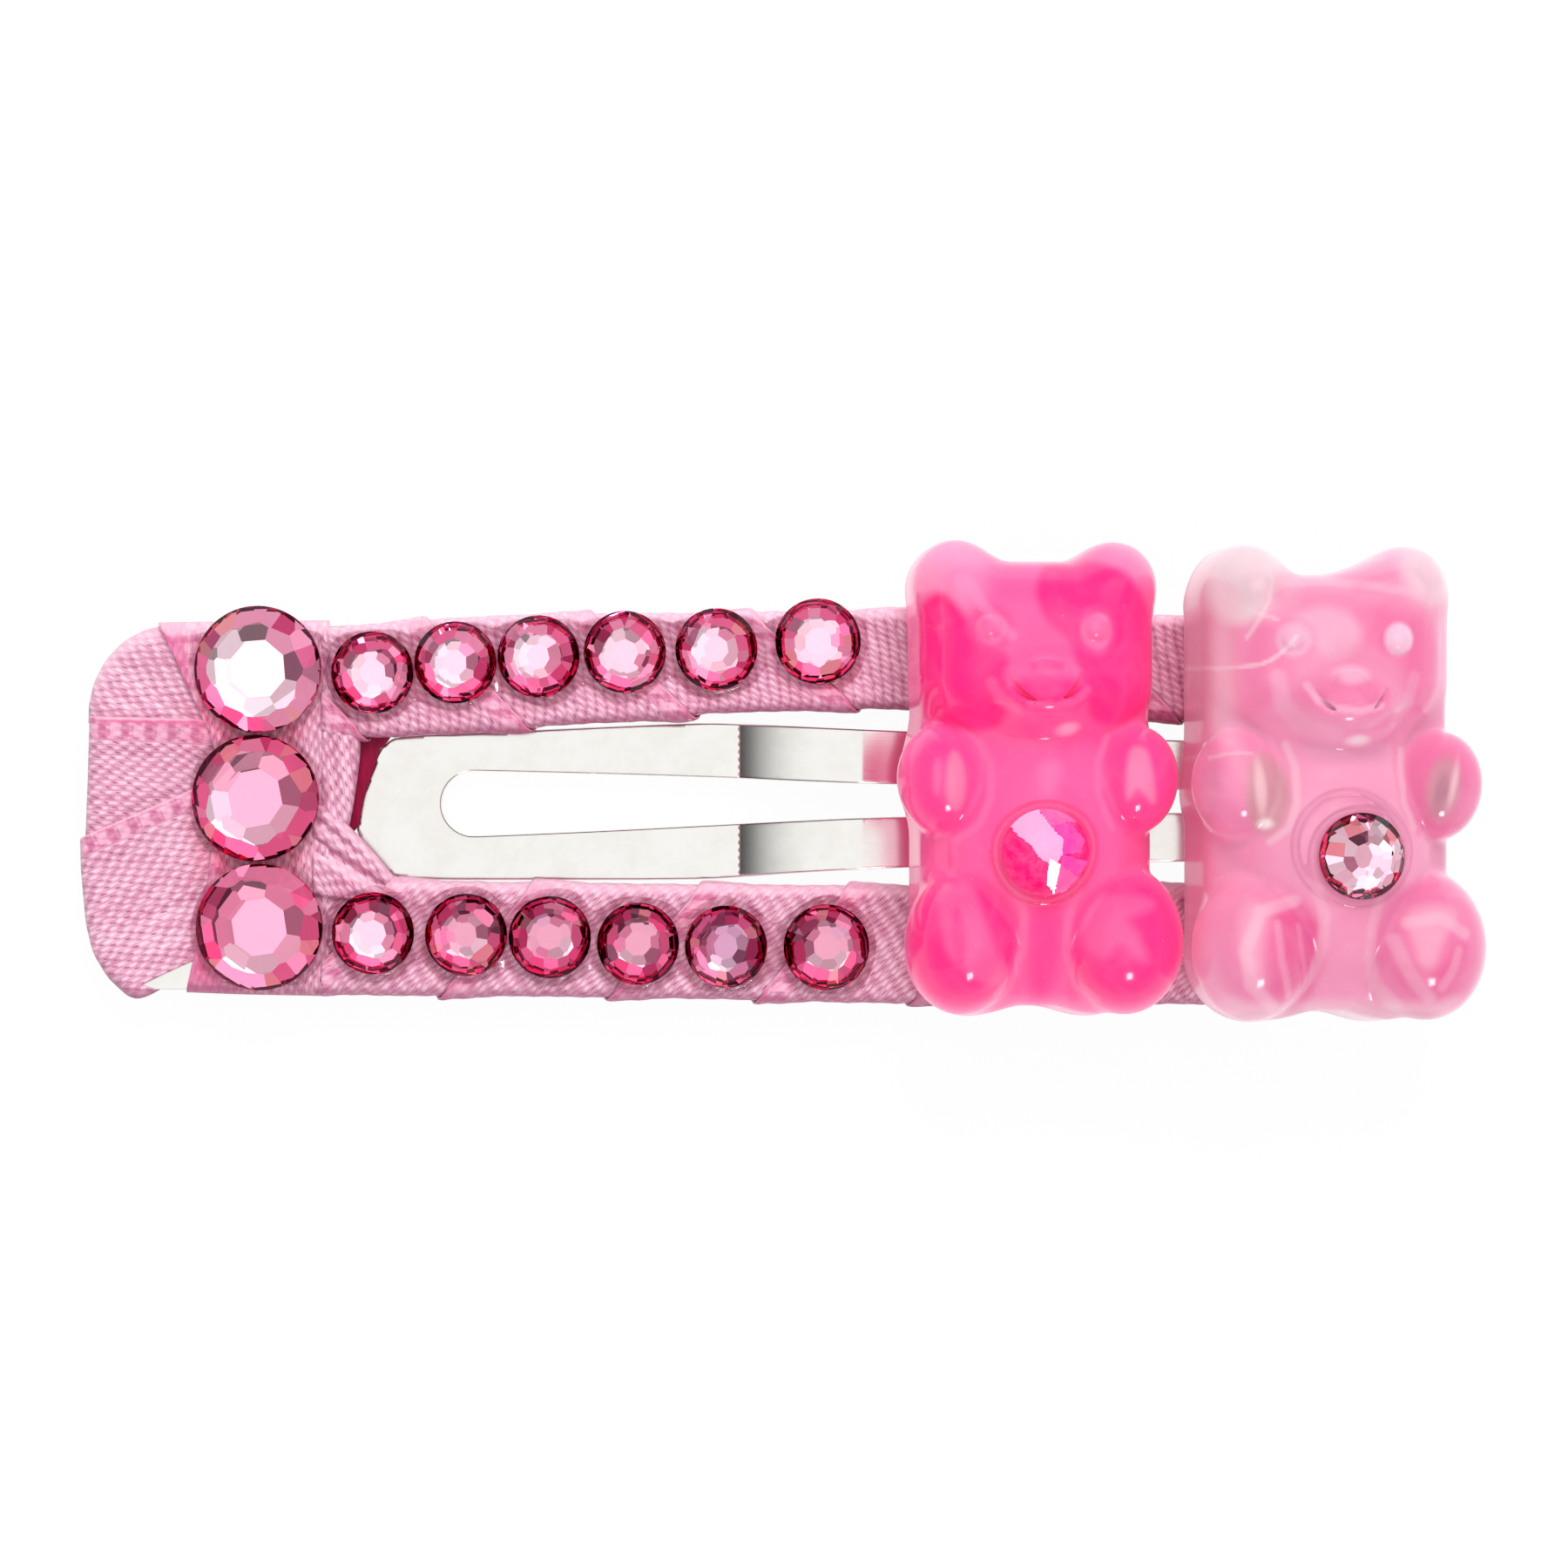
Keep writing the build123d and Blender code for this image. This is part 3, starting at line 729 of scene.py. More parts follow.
# ============================================================== ribbon wraps
def rounded_rect(seg, t, hw, ht, r):
    """Point and normal on a rounded rectangle; seg 0 is the top face from the outer to the inner edge."""
    y = np.zeros_like(t)
    z = np.zeros_like(t)
    ny = np.zeros_like(t)
    nz = np.zeros_like(t)
    for k in range(4):
        m = seg == k
        if not m.any():
            continue
        flat = 2 * ((hw[m] if k % 2 == 0 else ht) - r)
        q = math.pi * r / 4
        s = t[m] * (flat + 2 * q)
        a0 = math.pi / 4 + k * math.pi / 2
        a = np.where(s < q, a0 + s / r,
                     np.where(s < q + flat, a0 + math.pi / 4, a0 + math.pi / 4 + (s - q - flat) / r))
        c1 = {0: (1, 1), 1: (-1, 1), 2: (-1, -1), 3: (1, -1)}[k]
        c2 = {0: (-1, 1), 1: (-1, -1), 2: (1, -1), 3: (1, 1)}[k]
        f = np.clip((s - q) / np.maximum(flat, 1e-9), 0, 1)
        cy = (c1[0] * (1 - f) + c2[0] * f) * (hw[m] - r)
        cz = (c1[1] * (1 - f) + c2[1] * f) * (ht - r)
        y[m] = cy + r * np.cos(a)
        z[m] = cz + r * np.sin(a)
        ny[m] = np.cos(a)
        nz[m] = np.sin(a)
    return y, z, ny, nz


def leg_wrap(name, E, dI, outer, inner, mirror, raise_right, cut):
    """One long strip wound round a leg. E: where each turn's exposed edge crosses the outer edge."""
    E = np.array(E, float)
    turns = len(E) - 1
    ft, fside = 0.385, 0.115
    per = 88
    na = 26
    K = np.arange(0, turns * per + 1) / per
    k = np.minimum(K.astype(int), turns - 1)
    f = K - k
    a = np.linspace(0, 1, na) ** 1.25
    e0, e1 = E[k], E[k + 1]
    fi = np.array([0, ft, ft + fside, 1 - fside, 1.0])
    xe = np.zeros_like(K)
    for j in range(len(K)):
        xs = np.array([e0[j], e0[j] + dI, e0[j] + dI + 0.25, e1[j] - 0.25, e1[j]])
        xe[j] = np.interp(f[j], fi, xs)
    xe = np.convolve(np.pad(xe, 4, "edge"), np.ones(9) / 9, "valid")
    seg = np.select([f < ft, f < ft + fside, f < 1 - fside], [0, 1, 2], 3)
    tt = np.select([f < ft, f < ft + fside, f < 1 - fside],
                   [f / ft, (f - ft) / fside, (f - ft - fside) / (1 - ft - 2 * fside)],
                   (f - 1 + fside) / fside)
    width = (e1 - e0) + 0.95
    width = np.convolve(np.pad(width, 20, "edge"), np.ones(41) / 41, "valid")
    rows = []
    uvs = []
    for layer in (0, 1):
        A, KK = np.meshgrid(a, K, indexing="xy")
        W = width[:, None] * np.ones_like(A)
        X = xe[:, None] + (-1 if raise_right else 1) * A * W
        o = np.interp(X, *zip(*outer))
        i = np.interp(X, *zip(*inner))
        hw = (o - i) / 2 - 0.14
        S = np.repeat(seg[:, None], na, 1)
        Tt = np.repeat(tt[:, None], na, 1)
        ht = (Z_RIB_TOP - Z_RIB_LOW) / 2 - 0.13
        zc = (Z_RIB_TOP + Z_RIB_LOW) / 2 - 0.01
        y, z, ny, nz = rounded_rect(S.ravel(), Tt.ravel(), hw.ravel(), ht, 0.44)
        y, z, ny, nz = (q.reshape(A.shape) for q in (y, z, ny, nz))
        d = A * W
        off = 0.02 + 0.13 * (1 - smooth(d, 0.0, 2.6)) + 0.035 * np.exp(-((d - 0.16) / 0.14) ** 2)
        # soft wrinkles running with the threads, and a gentle pull between turns
        off += 0.016 * np.sin(d * 3.1 + 1.7 * KK * 2) * np.sin(KK * 9.0 + 1.3) \
            + 0.012 * np.sin(d * 7.3 + 4.0 * np.sin(KK * 3.1))
        if layer:
            off = off - 0.085
        Y = (o + i) / 2 + y + ny * off
        Z = zc + z + nz * off
        Y = -Y if mirror else Y
        rows.append(np.stack([X, Y, Z], -1).reshape(-1, 3))
        uvs.append(np.stack([d * 0.78, KK * 13.2], -1).reshape(-1, 2))
    V = np.vstack(rows)
    UV = np.vstack(uvs)
    nK = len(K)
    n = nK * na
    F = []
    for j in range(nK - 1):
        for q in range(na - 1):
            v0 = j * na + q
            F.append((v0, v0 + 1, v0 + na + 1, v0 + na))
            F.append((n + v0, n + v0 + na, n + v0 + na + 1, n + v0 + 1))
        for q, fl in ((0, False), (na - 1, True)):
            v0 = j * na + q
            quad = (v0, v0 + na, n + v0 + na, n + v0)
            F.append(quad[::-1] if fl else quad)
    for j, fl in ((0, True), (nK - 1, False)):
        for q in range(na - 1):
            v0 = j * na + q
            quad = (v0, v0 + 1, n + v0 + 1, n + v0)
            F.append(quad[::-1] if fl else quad)
    me = bpy.data.meshes.new(name + "_tmp")
    me.from_pydata(V.tolist(), [], F)
    layer = me.uv_layers.new(name="rib")
    idx = np.zeros(len(me.loops), np.int32)
    me.loops.foreach_get("vertex_index", idx)
    layer.data.foreach_set("uv", UV[idx].astype(np.float32).ravel())
    bm = bmesh.new()
    bm.from_mesh(me)
    bmesh.ops.recalc_face_normals(bm, faces=bm.faces)
    for x, side in ((cut[0], -1), (cut[1], 1)):
        geom = bm.verts[:] + bm.edges[:] + bm.faces[:]
        r = bmesh.ops.bisect_plane(bm, geom=geom, dist=1e-6, plane_co=(x, 0, 0),
                                   plane_no=(side, 0, 0), clear_outer=True)
        edges = [e for e in bm.edges if e.is_boundary]
        if edges:
            bmesh.ops.edgeloop_fill(bm, edges=edges)
    bmesh.ops.transform(bm, matrix=Matrix.Scale(MM, 4) @ Matrix.Translation((OX, OY, 0)),
                        verts=bm.verts)
    for fc in bm.faces:
        fc.smooth = True
    bm.to_mesh(me)
    bm.free()
    me.materials.append(M_RIB)
    ob = bpy.data.objects.new(name, me)
    bpy.context.scene.collection.objects.link(ob)
    return ob


TOP_OUT = [(-25, 5.80), (-16.5, 5.90), (-14.72, 5.97), (-12.16, 6.20), (-9.60, 6.32), (-3.20, 6.38),
           (3.20, 6.50), (14.24, 6.30), (17.2, 6.24), (25, 6.2)]
TOP_IN = [(-25, 1.45), (-16.5, 1.50), (-14.72, 1.54), (-9.60, 1.80), (-8.6, 1.98), (-3.60, 2.22),
          (-3.0, 2.42), (3.20, 2.60), (14.24, 2.15), (17.2, 2.12), (25, 2.1)]
BOT_OUT = [(-25, 7.90), (-16.5, 7.90), (-14.72, 7.97), (-9.60, 7.99), (-3.20, 8.08),
           (3.20, 8.24), (14.24, 8.28), (17.2, 8.28), (25, 8.28)]
BOT_IN = [(-25, 3.44), (-16.5, 3.44), (-14.72, 3.46), (-9.60, 3.54), (-3.20, 3.62),
          (3.20, 3.66), (14.24, 3.66), (17.2, 3.66), (25, 3.66)]

w1 = leg_wrap("ribbon_top_leg_wrap", [-25.2, -19.15, -13.1, -7.04, -1.12, 4.85, 10.8, 16.8, 22.8, 28.8],
              3.72, TOP_OUT, TOP_IN, False, True, (-17.0, 17.2))
w2 = leg_wrap("ribbon_bottom_leg_wrap", [-28.6, -23.2, -17.8, -12.58, -6.4, -0.96, 4.7, 10.4, 16.1, 21.8],
              3.30, BOT_OUT, BOT_IN, True, False, (-17.0, 17.2))
for ob, node in ((w1, "ribbon_top_leg"), (w2, "ribbon_bottom_leg")):
    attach(ob, ROOT)
    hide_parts(node)

# front bands: overlapping lengths of ribbon round the wide front plate
Z_MID = (Z_RIB_TOP + Z_RIB_LOW) / 2


def band(name, node, poly, outer_line, edge_line, angle, top, lip=0.14, keep=(), rounds=2,
         origin=None, groove=None, low=None, edge_flip=1, r_out=0.62, lipw=1.5, puff=0.0,
         selvedge=True, mat=None):
    """A length of ribbon. outer_line: where it turns over the plate's edge; edge_line: its exposed selvedge."""
    pts = chaikin(poly, rounds, keep)
    ht = top - Z_MID

    def shape(P):
        d = seg_dist(P, outer_line) if outer_line is not None else np.full(len(P), 9.0)
        q = np.clip(d / r_out, 0, 1)
        return 1 - np.sqrt(np.maximum(1 - (1 - q) ** 2, 0))

    def ztop(P):
        z = np.full(len(P), top)
        if edge_line is not None:
            e = seg_dist(P, edge_line)
            z += lip * (1 - smooth(e, 0.0, lipw)) + 0.03 * np.exp(-((e - 0.18) / 0.16) ** 2)
        ca, sa = math.cos(math.radians(angle)), math.sin(math.radians(angle))
        al = P[:, 0] * ca + P[:, 1] * sa
        ac = -P[:, 0] * sa + P[:, 1] * ca
        z += 0.018 * np.sin(ac * 2.6 + 0.8) * np.sin(al * 0.9 + 0.4) + 0.010 * np.sin(ac * 6.1 + al * 0.8)
        if groove is not None:
            z -= groove(P)
        if puff:
            z += puff * smooth(seg_dist(P, pts, True), 0, 0.5)
        return z - shape(P) * (z - Z_MID)

    def zlow(P):
        base = Z_RIB_LOW if low is None else low
        return base + shape(P) * (Z_MID - base) - (0.0 if low is None else 0.0)

    V, F, P = pillow(pts, ztop, zlow, 0.13)
    ca, sa = math.cos(math.radians(angle)), math.sin(math.radians(angle))
    P3 = V[:, :2]
    v = P3[:, 0] * ca + P3[:, 1] * sa
    ac = -P3[:, 0] * sa + P3[:, 1] * ca
    if origin is None:
        origin = 0.0
    u = (ac - origin) * edge_flip
    if edge_line is None or not selvedge:
        u = u + 20
    return add_mesh(name, V, F, mat or M_RIB, nodes=(node,) if node else (),
                    uv=np.c_[u, v])


def across(pt, angle):
    ca, sa = math.cos(math.radians(angle)), math.sin(math.radians(angle))
    return -pt[0] * sa + pt[1] * ca


# corner band: threads fall to the right, lower selvedge over the middle band
A_OUT = [(-25.62, 2.2), (-25.60, 2.9), (-25.42, 3.7), (-25.0, 4.5), (-24.35, 5.2), (-23.5, 5.66), (-22.4, 5.88)]
band("ribbon_corner_band", "ribbon_front_corner_band",
     A_OUT + [(-21.6, 5.5), (-20.4, 2.0), (-20.4, 1.2), (-21.5, 2.05)],
     A_OUT + [(-20.0, 5.95)], None, -25, 1.68, keep=(0, 6), low=Z_RIB_LOW + 0.036)
B_OUT = [(-25.58, 2.45), (-25.62, 1.0), (-25.68, -0.8), (-25.76, -2.6)]
band("ribbon_middle_band", "ribbon_front_middle_band",
     B_OUT + [(-20.4, -1.2), (-20.4, 2.3)],
     B_OUT, [(-25.8, 2.36), (-20.4, 2.22)], -2.5, 1.68, lip=0.15,
     keep=(0, 3, 4, 5), origin=across((-25.8, 2.36), -2.5), edge_flip=-1, low=Z_RIB_LOW + 0.024)
C_OUT = [(-25.93, -2.06), (-25.90, -3.2), (-25.72, -5.2), (-25.45, -6.3), (-24.9, -7.2), (-24.2, -7.85),
         (-23.84, -7.98), (-23.4, -7.86), (-22.98, -7.62)]
band("ribbon_lower_band", "ribbon_front_lower_band",
     C_OUT + [(-23.62, -7.44), (-22.88, -7.08), (-21.68, -6.52), (-20.4, -6.1), (-20.4, 0.35)],
     C_OUT, [(-26.0, -2.03), (-20.4, 0.42)], 23.5, 1.76, lip=0.16,
     keep=(0, 8, 9, 13), origin=across((-26.0, -2.03), 23.5), edge_flip=-1, low=Z_RIB_LOW + 0.012)
V_TOP = [(-23.05, 5.90), (-20.0, 5.96), (-16.75, 5.98)]
V_BOT = [(-16.75, -7.86), (-20.0, -7.80), (-22.0, -7.72)]
band("ribbon_vertical_band", "ribbon_front_vertical_band",
     V_TOP + V_BOT + [(-21.7, -6.48), (-21.1, -3.25), (-20.75, 0.3), (-20.9, 1.36), (-22.2, 4.14)],
     V_TOP + [(-16.0, 5.98), (-16.0, 20.0), (-30.0, 20.0), (-30.0, -20.0), (-22.0, -20.0)] + V_BOT[::-1],
     [(-23.05, 5.95), (-22.2, 4.14), (-20.9, 1.36), (-20.75, 0.3), (-21.1, -3.25), (-21.7, -6.48), (-22.0, -7.75)],
     96, 1.80, lip=0.10, keep=(0, 2, 3, 5), origin=across((-21.6, 0), 96), edge_flip=-1)

# strand down the crossbar's inner edge
band("ribbon_crossbar_strand_wrap", "ribbon_crossbar_strand",
     [(-17.0, 2.6), (-16.0, 2.3), (-15.60, 1.75), (-15.62, 0.9), (-15.78, -0.3), (-16.00, -1.6), (-16.2, -2.2), (-17.0, -2.2)],
     [(-15.9, 2.5), (-15.58, 1.75), (-15.60, 0.9), (-15.76, -0.3), (-15.98, -1.6), (-16.2, -2.4)],
     [(-15.9, 2.5), (-15.58, 1.75), (-15.60, 0.9), (-15.76, -0.3), (-15.98, -1.6)],
     97, 1.80, lip=0.06, keep=(0, 7), origin=0, edge_flip=1, low=0.72, r_out=0.7, selvedge=False,
     groove=lambda P: 0.09 * np.exp(-((P[:, 0] + 16.45 + 0.10 * P[:, 1]) / 0.12) ** 2)
     + 0.06 * np.exp(-((P[:, 0] + 16.05 + 0.06 * P[:, 1]) / 0.09) ** 2))
# strand crossing the window's corner over the tongue's tip
band("ribbon_diagonal_strand_wrap", "ribbon_diagonal_strand",
     [(-17.3, -0.75), (-16.7, -0.95), (-16.05, -1.55), (-15.2, -2.45), (-14.45, -3.35), (-14.15, -3.78),
      (-14.7, -4.25), (-15.6, -4.35), (-17.3, -4.1)],
     [(-16.7, -0.90), (-16.02, -1.50), (-15.17, -2.40), (-14.42, -3.32), (-14.1, -3.8)],
     [(-16.7, -0.90), (-16.02, -1.50), (-15.17, -2.40), (-14.42, -3.32), (-14.1, -3.8)],
     -40, 1.92, lip=0.10, keep=(0, 8), origin=0, edge_flip=-1, low=0.78, r_out=0.5, selvedge=False,
     groove=lambda P: 0.30 * np.exp(-(((P[:, 0] + 16.0) * 0.52 + (P[:, 1] + 3.05) * 0.85) / 0.20) ** 2)
     + 0.15 * np.exp(-(((P[:, 0] + 16.0) * 0.64 + (P[:, 1] + 2.35) * 0.77) / 0.14) ** 2)
     + 0.08 * np.exp(-(((P[:, 0] + 16.0) * 0.70 + (P[:, 1] + 1.85) * 0.70) / 0.09) ** 2))


def fold_material():
    g = Nodes("shaded_ribbon_fold")
    p = g.obj()
    m = g.node("ShaderNodeMapping")
    g.put(m.inputs["Vector"], p)
    m.inputs["Scale"].default_value = (9.0, 1.2, 3.0)
    th = g.noise(m.outputs[0], 1.0, 3.0, 0.6)
    # painted shadow: a dark crimson standing in for the shade between the strand and the tongue
    col = g.mix(th, lin(92, 4, 32), lin(160, 20, 68))
    s = g.principled(Base_Color=col, Roughness=0.6, Normal=g.bump(th, 0.4, 0.03))
    s.inputs["Specular IOR Level"].default_value = 0.15
    return g.done(s.outputs[0])


# a dark fold under the strand's edge, its colour painted shadow
band("ribbon_crossbar_inner_fold", None,
     [(-16.3, 2.0), (-15.4, 2.3), (-14.35, 2.0), (-14.62, 1.50), (-14.98, 1.17), (-15.14, 0.42), (-15.40, -0.20),
      (-15.57, -0.90), (-15.68, -1.75), (-16.4, -1.9)],
     None, None, 97, 1.02, low=0.70, rounds=1, mat=fold_material())


# ============================================================== stones
# glass tints per facet: the rose is the glass's own colour; the white, grey, mauve and near-black tints are painted
# reflections of what each facet mirrors
TINTS = {
    "W": (1.00, 0.88, 0.93), "L": (0.995, 0.75, 0.83), "T": (0.99, 0.73, 0.81), "P": (0.985, 0.42, 0.61),
    "H": (0.965, 0.22, 0.43), "D": (0.72, 0.09, 0.24), "G": (0.80, 0.54, 0.63), "M": (0.56, 0.26, 0.36),
    "K": (0.34, 0.15, 0.22), "O": (0.985, 0.42, 0.46), "V": (0.72, 0.52, 0.64),
    "S": (0.99, 0.62, 0.74),
}
M_TINT = {k: stone_material("rose_glass_" + k, (*v, 1)) for k, v in TINTS.items()}
CODES = list(TINTS)


def cut_stone(D, seed, mains="LLLLLLLL", table="T", ring="HHPHPDHPLHO", stars=0.6):
    """Faceted flatback stone of diameter D, base at z = 0. Returns points, faces, face material index."""
    bm = bmesh.new()
    tag = bm.faces.layers.int.new("tag")
    r = D / 2
    n = 64
    h = 0.40 * D
    gird = (0.15 if D > 3.5 else 0.095) * D
    bev = 0.04 * D
    rings = []
    for rr, z in ((r * 0.95, 0.0), (r, bev), (r, h * 1.05)):
        rings.append([bm.verts.new((rr * math.cos(2 * math.pi * i / n), rr * math.sin(2 * math.pi * i / n), z))
                      for i in range(n)])
    for a, b in zip(rings[:-1], rings[1:]):
        for i in range(n):
            bm.faces.new((a[i], a[(i + 1) % n], b[(i + 1) % n], b[i]))
    bm.faces.new(rings[0][::-1])
    bm.faces.new(rings[-1])
    q = np.random.default_rng(seed)

    def cut(az, r0, z0, slope, mark):
        a, t = math.radians(az), math.radians(slope)
        no = Vector((math.sin(t) * math.cos(a), math.sin(t) * math.sin(a), math.cos(t)))
        geom = bm.verts[:] + bm.edges[:] + bm.faces[:]
        bmesh.ops.bisect_plane(bm, geom=geom, dist=1e-6, plane_co=(r0 * math.cos(a), r0 * math.sin(a), z0),
                               plane_no=no, clear_outer=True)
        ed = [e for e in bm.edges if e.is_boundary]
        if ed:
            res = bmesh.ops.edgeloop_fill(bm, edges=ed)
            for f in res["faces"]:
                f[tag] = mark + 1

    def pick(codes):
        return CODES.index(codes[int(q.integers(len(codes)))])

    big = D > 3.5
    t_in, t_out = (0.45, 0.75) if big else (0.31, 0.60)         # table edge and inner edge of the ring
    tilt = 27.0 if big else 21.0
    drop = h - (t_out - t_in) * r * math.tan(math.radians(tilt)) - gird
    steep = math.degrees(math.atan2(drop, (1 - t_out) * r))
    m = 26 if big else 20
    for i in range(m):                           # narrow radial facets of the ring
        cut(360.0 / m * i + q.uniform(-2, 2), r, gird, steep + q.uniform(-3.2, 3.2), pick(ring))
    for i in range(m // 2):                      # small triangles breaking into the ring from the girdle
        cut(720.0 / m * (i + 0.25) + q.uniform(-3, 3), r * 0.985, gird * 1.12, 61 + q.uniform(-2, 2), pick(ring))
    for i in range(8):                           # main facets
        cut(45 * i, r * t_in, h, tilt + q.uniform(-1.5, 1.5), CODES.index(mains[i]))
    for i in range(8):                           # small facets at the corners of the table
        if q.uniform() < (0.0 if big else stars):
            cut(22.5 + 45 * i + q.uniform(-4, 4), r * (t_in + 0.03), h, 15.0 + q.uniform(-3, 3), pick(mains + "WL"))
    cut(0, 0, h, 0.0, CODES.index(table))
    bmesh.ops.remove_doubles(bm, verts=bm.verts, dist=D * 1e-4)
    bmesh.ops.recalc_face_normals(bm, faces=bm.faces)
    V = np.array([tuple(v.co) for v in bm.verts])
    F = [[v.index for v in f.verts] for f in bm.faces]
    mi = []
    for f in bm.faces:
        c = f.calc_center_median()
        if f.normal.z < -0.5 or (c.z < bev * 1.01 and f.normal.z < -0.1):
            mi.append(len(CODES))
        else:
            mi.append(f[tag] - 1 if f[tag] else CODES.index("H"))
    bm.free()
    return V, F, mi


def gem_mats():
    return [M_TINT[c] for c in CODES] + [M_FOIL]


def rot(axis, deg):
    a = math.radians(deg)
    c, s = math.cos(a), math.sin(a)
    return {"x": np.array([[1, 0, 0], [0, c, -s], [0, s, c]]),
            "y": np.array([[c, 0, s], [0, 1, 0], [-s, 0, c]]),
            "z": np.array([[c, -s, 0], [s, c, 0], [0, 0, 1]])}[axis]


STONES = []
# mains, table and ring pick each facet's tint: painted reflections over the glass's rose
RING, CORAL, DEEP = "HHPHPDHHPDO", "HPPOPHHODPH", "HDPDHPHDOHK"
# name, turn, tilt about x and y, main facets from +X anticlockwise, table, ring
for name, tw, tx, ty, mains, table, ring in (
    ("large_stone_top", 9, 1.5, 1.0, "KMGWWWWL", "W", CORAL),
    ("large_stone_middle", 22, -0.5, -0.5, "MGGGWWWL", "S", RING),
    ("large_stone_bottom", 17, -2.0, 0.5, "MMGMMWWG", "S", CORAL),
    ("top_row_stone_1", 12, 1.0, 3.0, "KMLWWLWL", "L", RING),
    ("top_row_stone_2", 3, 2.0, -1.5, "MPWWLWWL", "L", RING),
    ("top_row_stone_3", 27, 1.5, -3.5, "MLWWWLLP", "L", RING),
    ("top_row_stone_4", 38, 3.0, 0.5, "LLWWLTLM", "T", RING),
    ("top_row_stone_5", 20, 0.5, -2.5, "LMTWWTLL", "T", RING),
    ("top_row_stone_6", 8, 2.0, 1.0, "PLWWTTLL", "L", RING),
    ("bottom_row_stone_1", 33, -1.0, 2.5, "KMGLWWWM", "T", DEEP),
    ("bottom_row_stone_2", 15, -2.5, -3.0, "MGMGPLWW", "G", DEEP),
    ("bottom_row_stone_3", 41, -3.0, 0.5, "GMVGGPLW", "G", DEEP),
    ("bottom_row_stone_4", 6, -3.5, 1.0, "MGGMPWLM", "G", DEEP),
    ("bottom_row_stone_5", 24, -2.0, -3.5, "GVVMMWWK", "V", DEEP),
    ("bottom_row_stone_6", 11, -4.0, 1.5, "GVGMKWLW", "G", DEEP),
):
    lo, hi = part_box(name)
    D = (hi.x - lo.x) / MM
    cx, cy = (lo.x + hi.x) / 2 / MM - OX, (lo.y + hi.y) / 2 / MM - OY
    V, F, mi = cut_stone(D - 0.01, len(name) * 13 + tw, mains, table, ring, 0.15 if D > 4 else 0.75)
    V = V @ rot("z", tw * 0.5).T @ rot("x", tx).T @ rot("y", ty).T
    V[:, 2] += lo.z / MM - V[:, 2].min() * 0.5
    V[:, 0] += cx
    V[:, 1] += cy
    STONES.append((cx, cy, D))
    ob = add_mesh(name + "_cut", V, F, gem_mats(), nodes=(name,),
                  shade=False, mat_index=mi, clean=False)

for n in ("foil_backs_large", "foil_backs_top_row", "foil_backs_bottom_row",
          "bear_left_foil_back", "bear_right_foil_back"):
    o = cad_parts[n]
    o.data.materials.clear()
    o.data.materials.append(M_FOIL)


# ============================================================== adhesive
def glue_field(stones, margin, zc, rim):
    def f(P):
        x, y, z = P[..., 0], P[..., 1], P[..., 2]
        best = None
        for i, (cx, cy, D) in enumerate(stones):
            wob = 0.05 * np.sin(3 * np.arctan2(y - cy, x - cx) + i * 2.1) \
                + 0.035 * np.sin(5 * np.arctan2(y - cy, x - cx) + i * 1.3)
            r = np.hypot(x - cx, y - cy) - (D / 2 + margin + wob)
            d = (r + np.maximum(z - zc, 0) * 1.25) * 0.62
            if best is None:
                best = d
            else:
                k = 0.42
                hh = np.clip(0.5 + 0.5 * (d - best) / k, 0, 1)
                best = d + (best - d) * hh - k * hh * (1 - hh)
        best = np.maximum(best, z - (zc + 0.30))
        out, inn, sgn = rim
        best = smax(best, sgn * y - (np.interp(x, *zip(*out)) - 0.30), 0.2)
        if inn is not None:
            best = smax(best, np.interp(x, *zip(*inn)) + 0.22 - sgn * y, 0.2)
        else:
            best = smax(best, -y - 7.55, 0.2)
        best = np.maximum(best, zc - 0.10 - z)
        for cx, cy, D in stones:
            r = np.hypot(x - cx, y - cy)
            best = smax(best, -np.maximum(r - (D / 2 - 0.02), zc + 0.095 - z), 0.04)
        return best
    return f


for name, node, ids, margin, rim in (
    ("adhesive_large_stones", "glue_large_stones", range(0, 3), 0.24, (TOP_OUT, None, 1)),
    ("adhesive_top_row", "glue_top_row", range(3, 9), 0.30, (TOP_OUT, TOP_IN, 1)),
    ("adhesive_bottom_row", "glue_bottom_row", range(9, 15), 0.30, (BOT_OUT, BOT_IN, -1)),
):
    st = [STONES[i] for i in ids]
    xs = [s[0] for s in st]
    ys = [s[1] for s in st]
    R = max(s[2] for s in st) / 2 + margin + 0.5
    V, F = surface_nets(glue_field(st, margin, Z_RIB_TOP - 0.02, rim), (min(xs) - R, min(ys) - R, Z_RIB_TOP - 0.25),
                        (max(xs) + R, max(ys) + R, Z_RIB_TOP + 0.55), 0.085, 1)
    add_mesh(name, V, F, M_GLUE, nodes=(node,), clean=False)


# ============================================================== resin bears
def ell(P, c, r, turn=0.0):
    x = P[..., 0] - c[0]
    y = P[..., 1] - c[1]
    z = P[..., 2] - c[2]
    if turn:
        ca, sa = math.cos(turn), math.sin(turn)
        x, y = ca * x + sa * y, -sa * x + ca * y
    k0 = np.sqrt((x / r[0]) ** 2 + (y / r[1]) ** 2 + (z / r[2]) ** 2)
    k1 = np.sqrt((x / r[0] ** 2) ** 2 + (y / r[1] ** 2) ** 2 + (z / r[2] ** 2) ** 2)
    return k0 * (k0 - 1.0) / np.maximum(k1, 1e-6)


def rbox2(x, y, cx, cy, hx, hy, r):
    qx = np.abs(x - cx) - hx + r
    qy = np.abs(y - cy) - hy + r
    return np.hypot(np.maximum(qx, 0), np.maximum(qy, 0)) + np.minimum(np.maximum(qx, qy), 0) - r


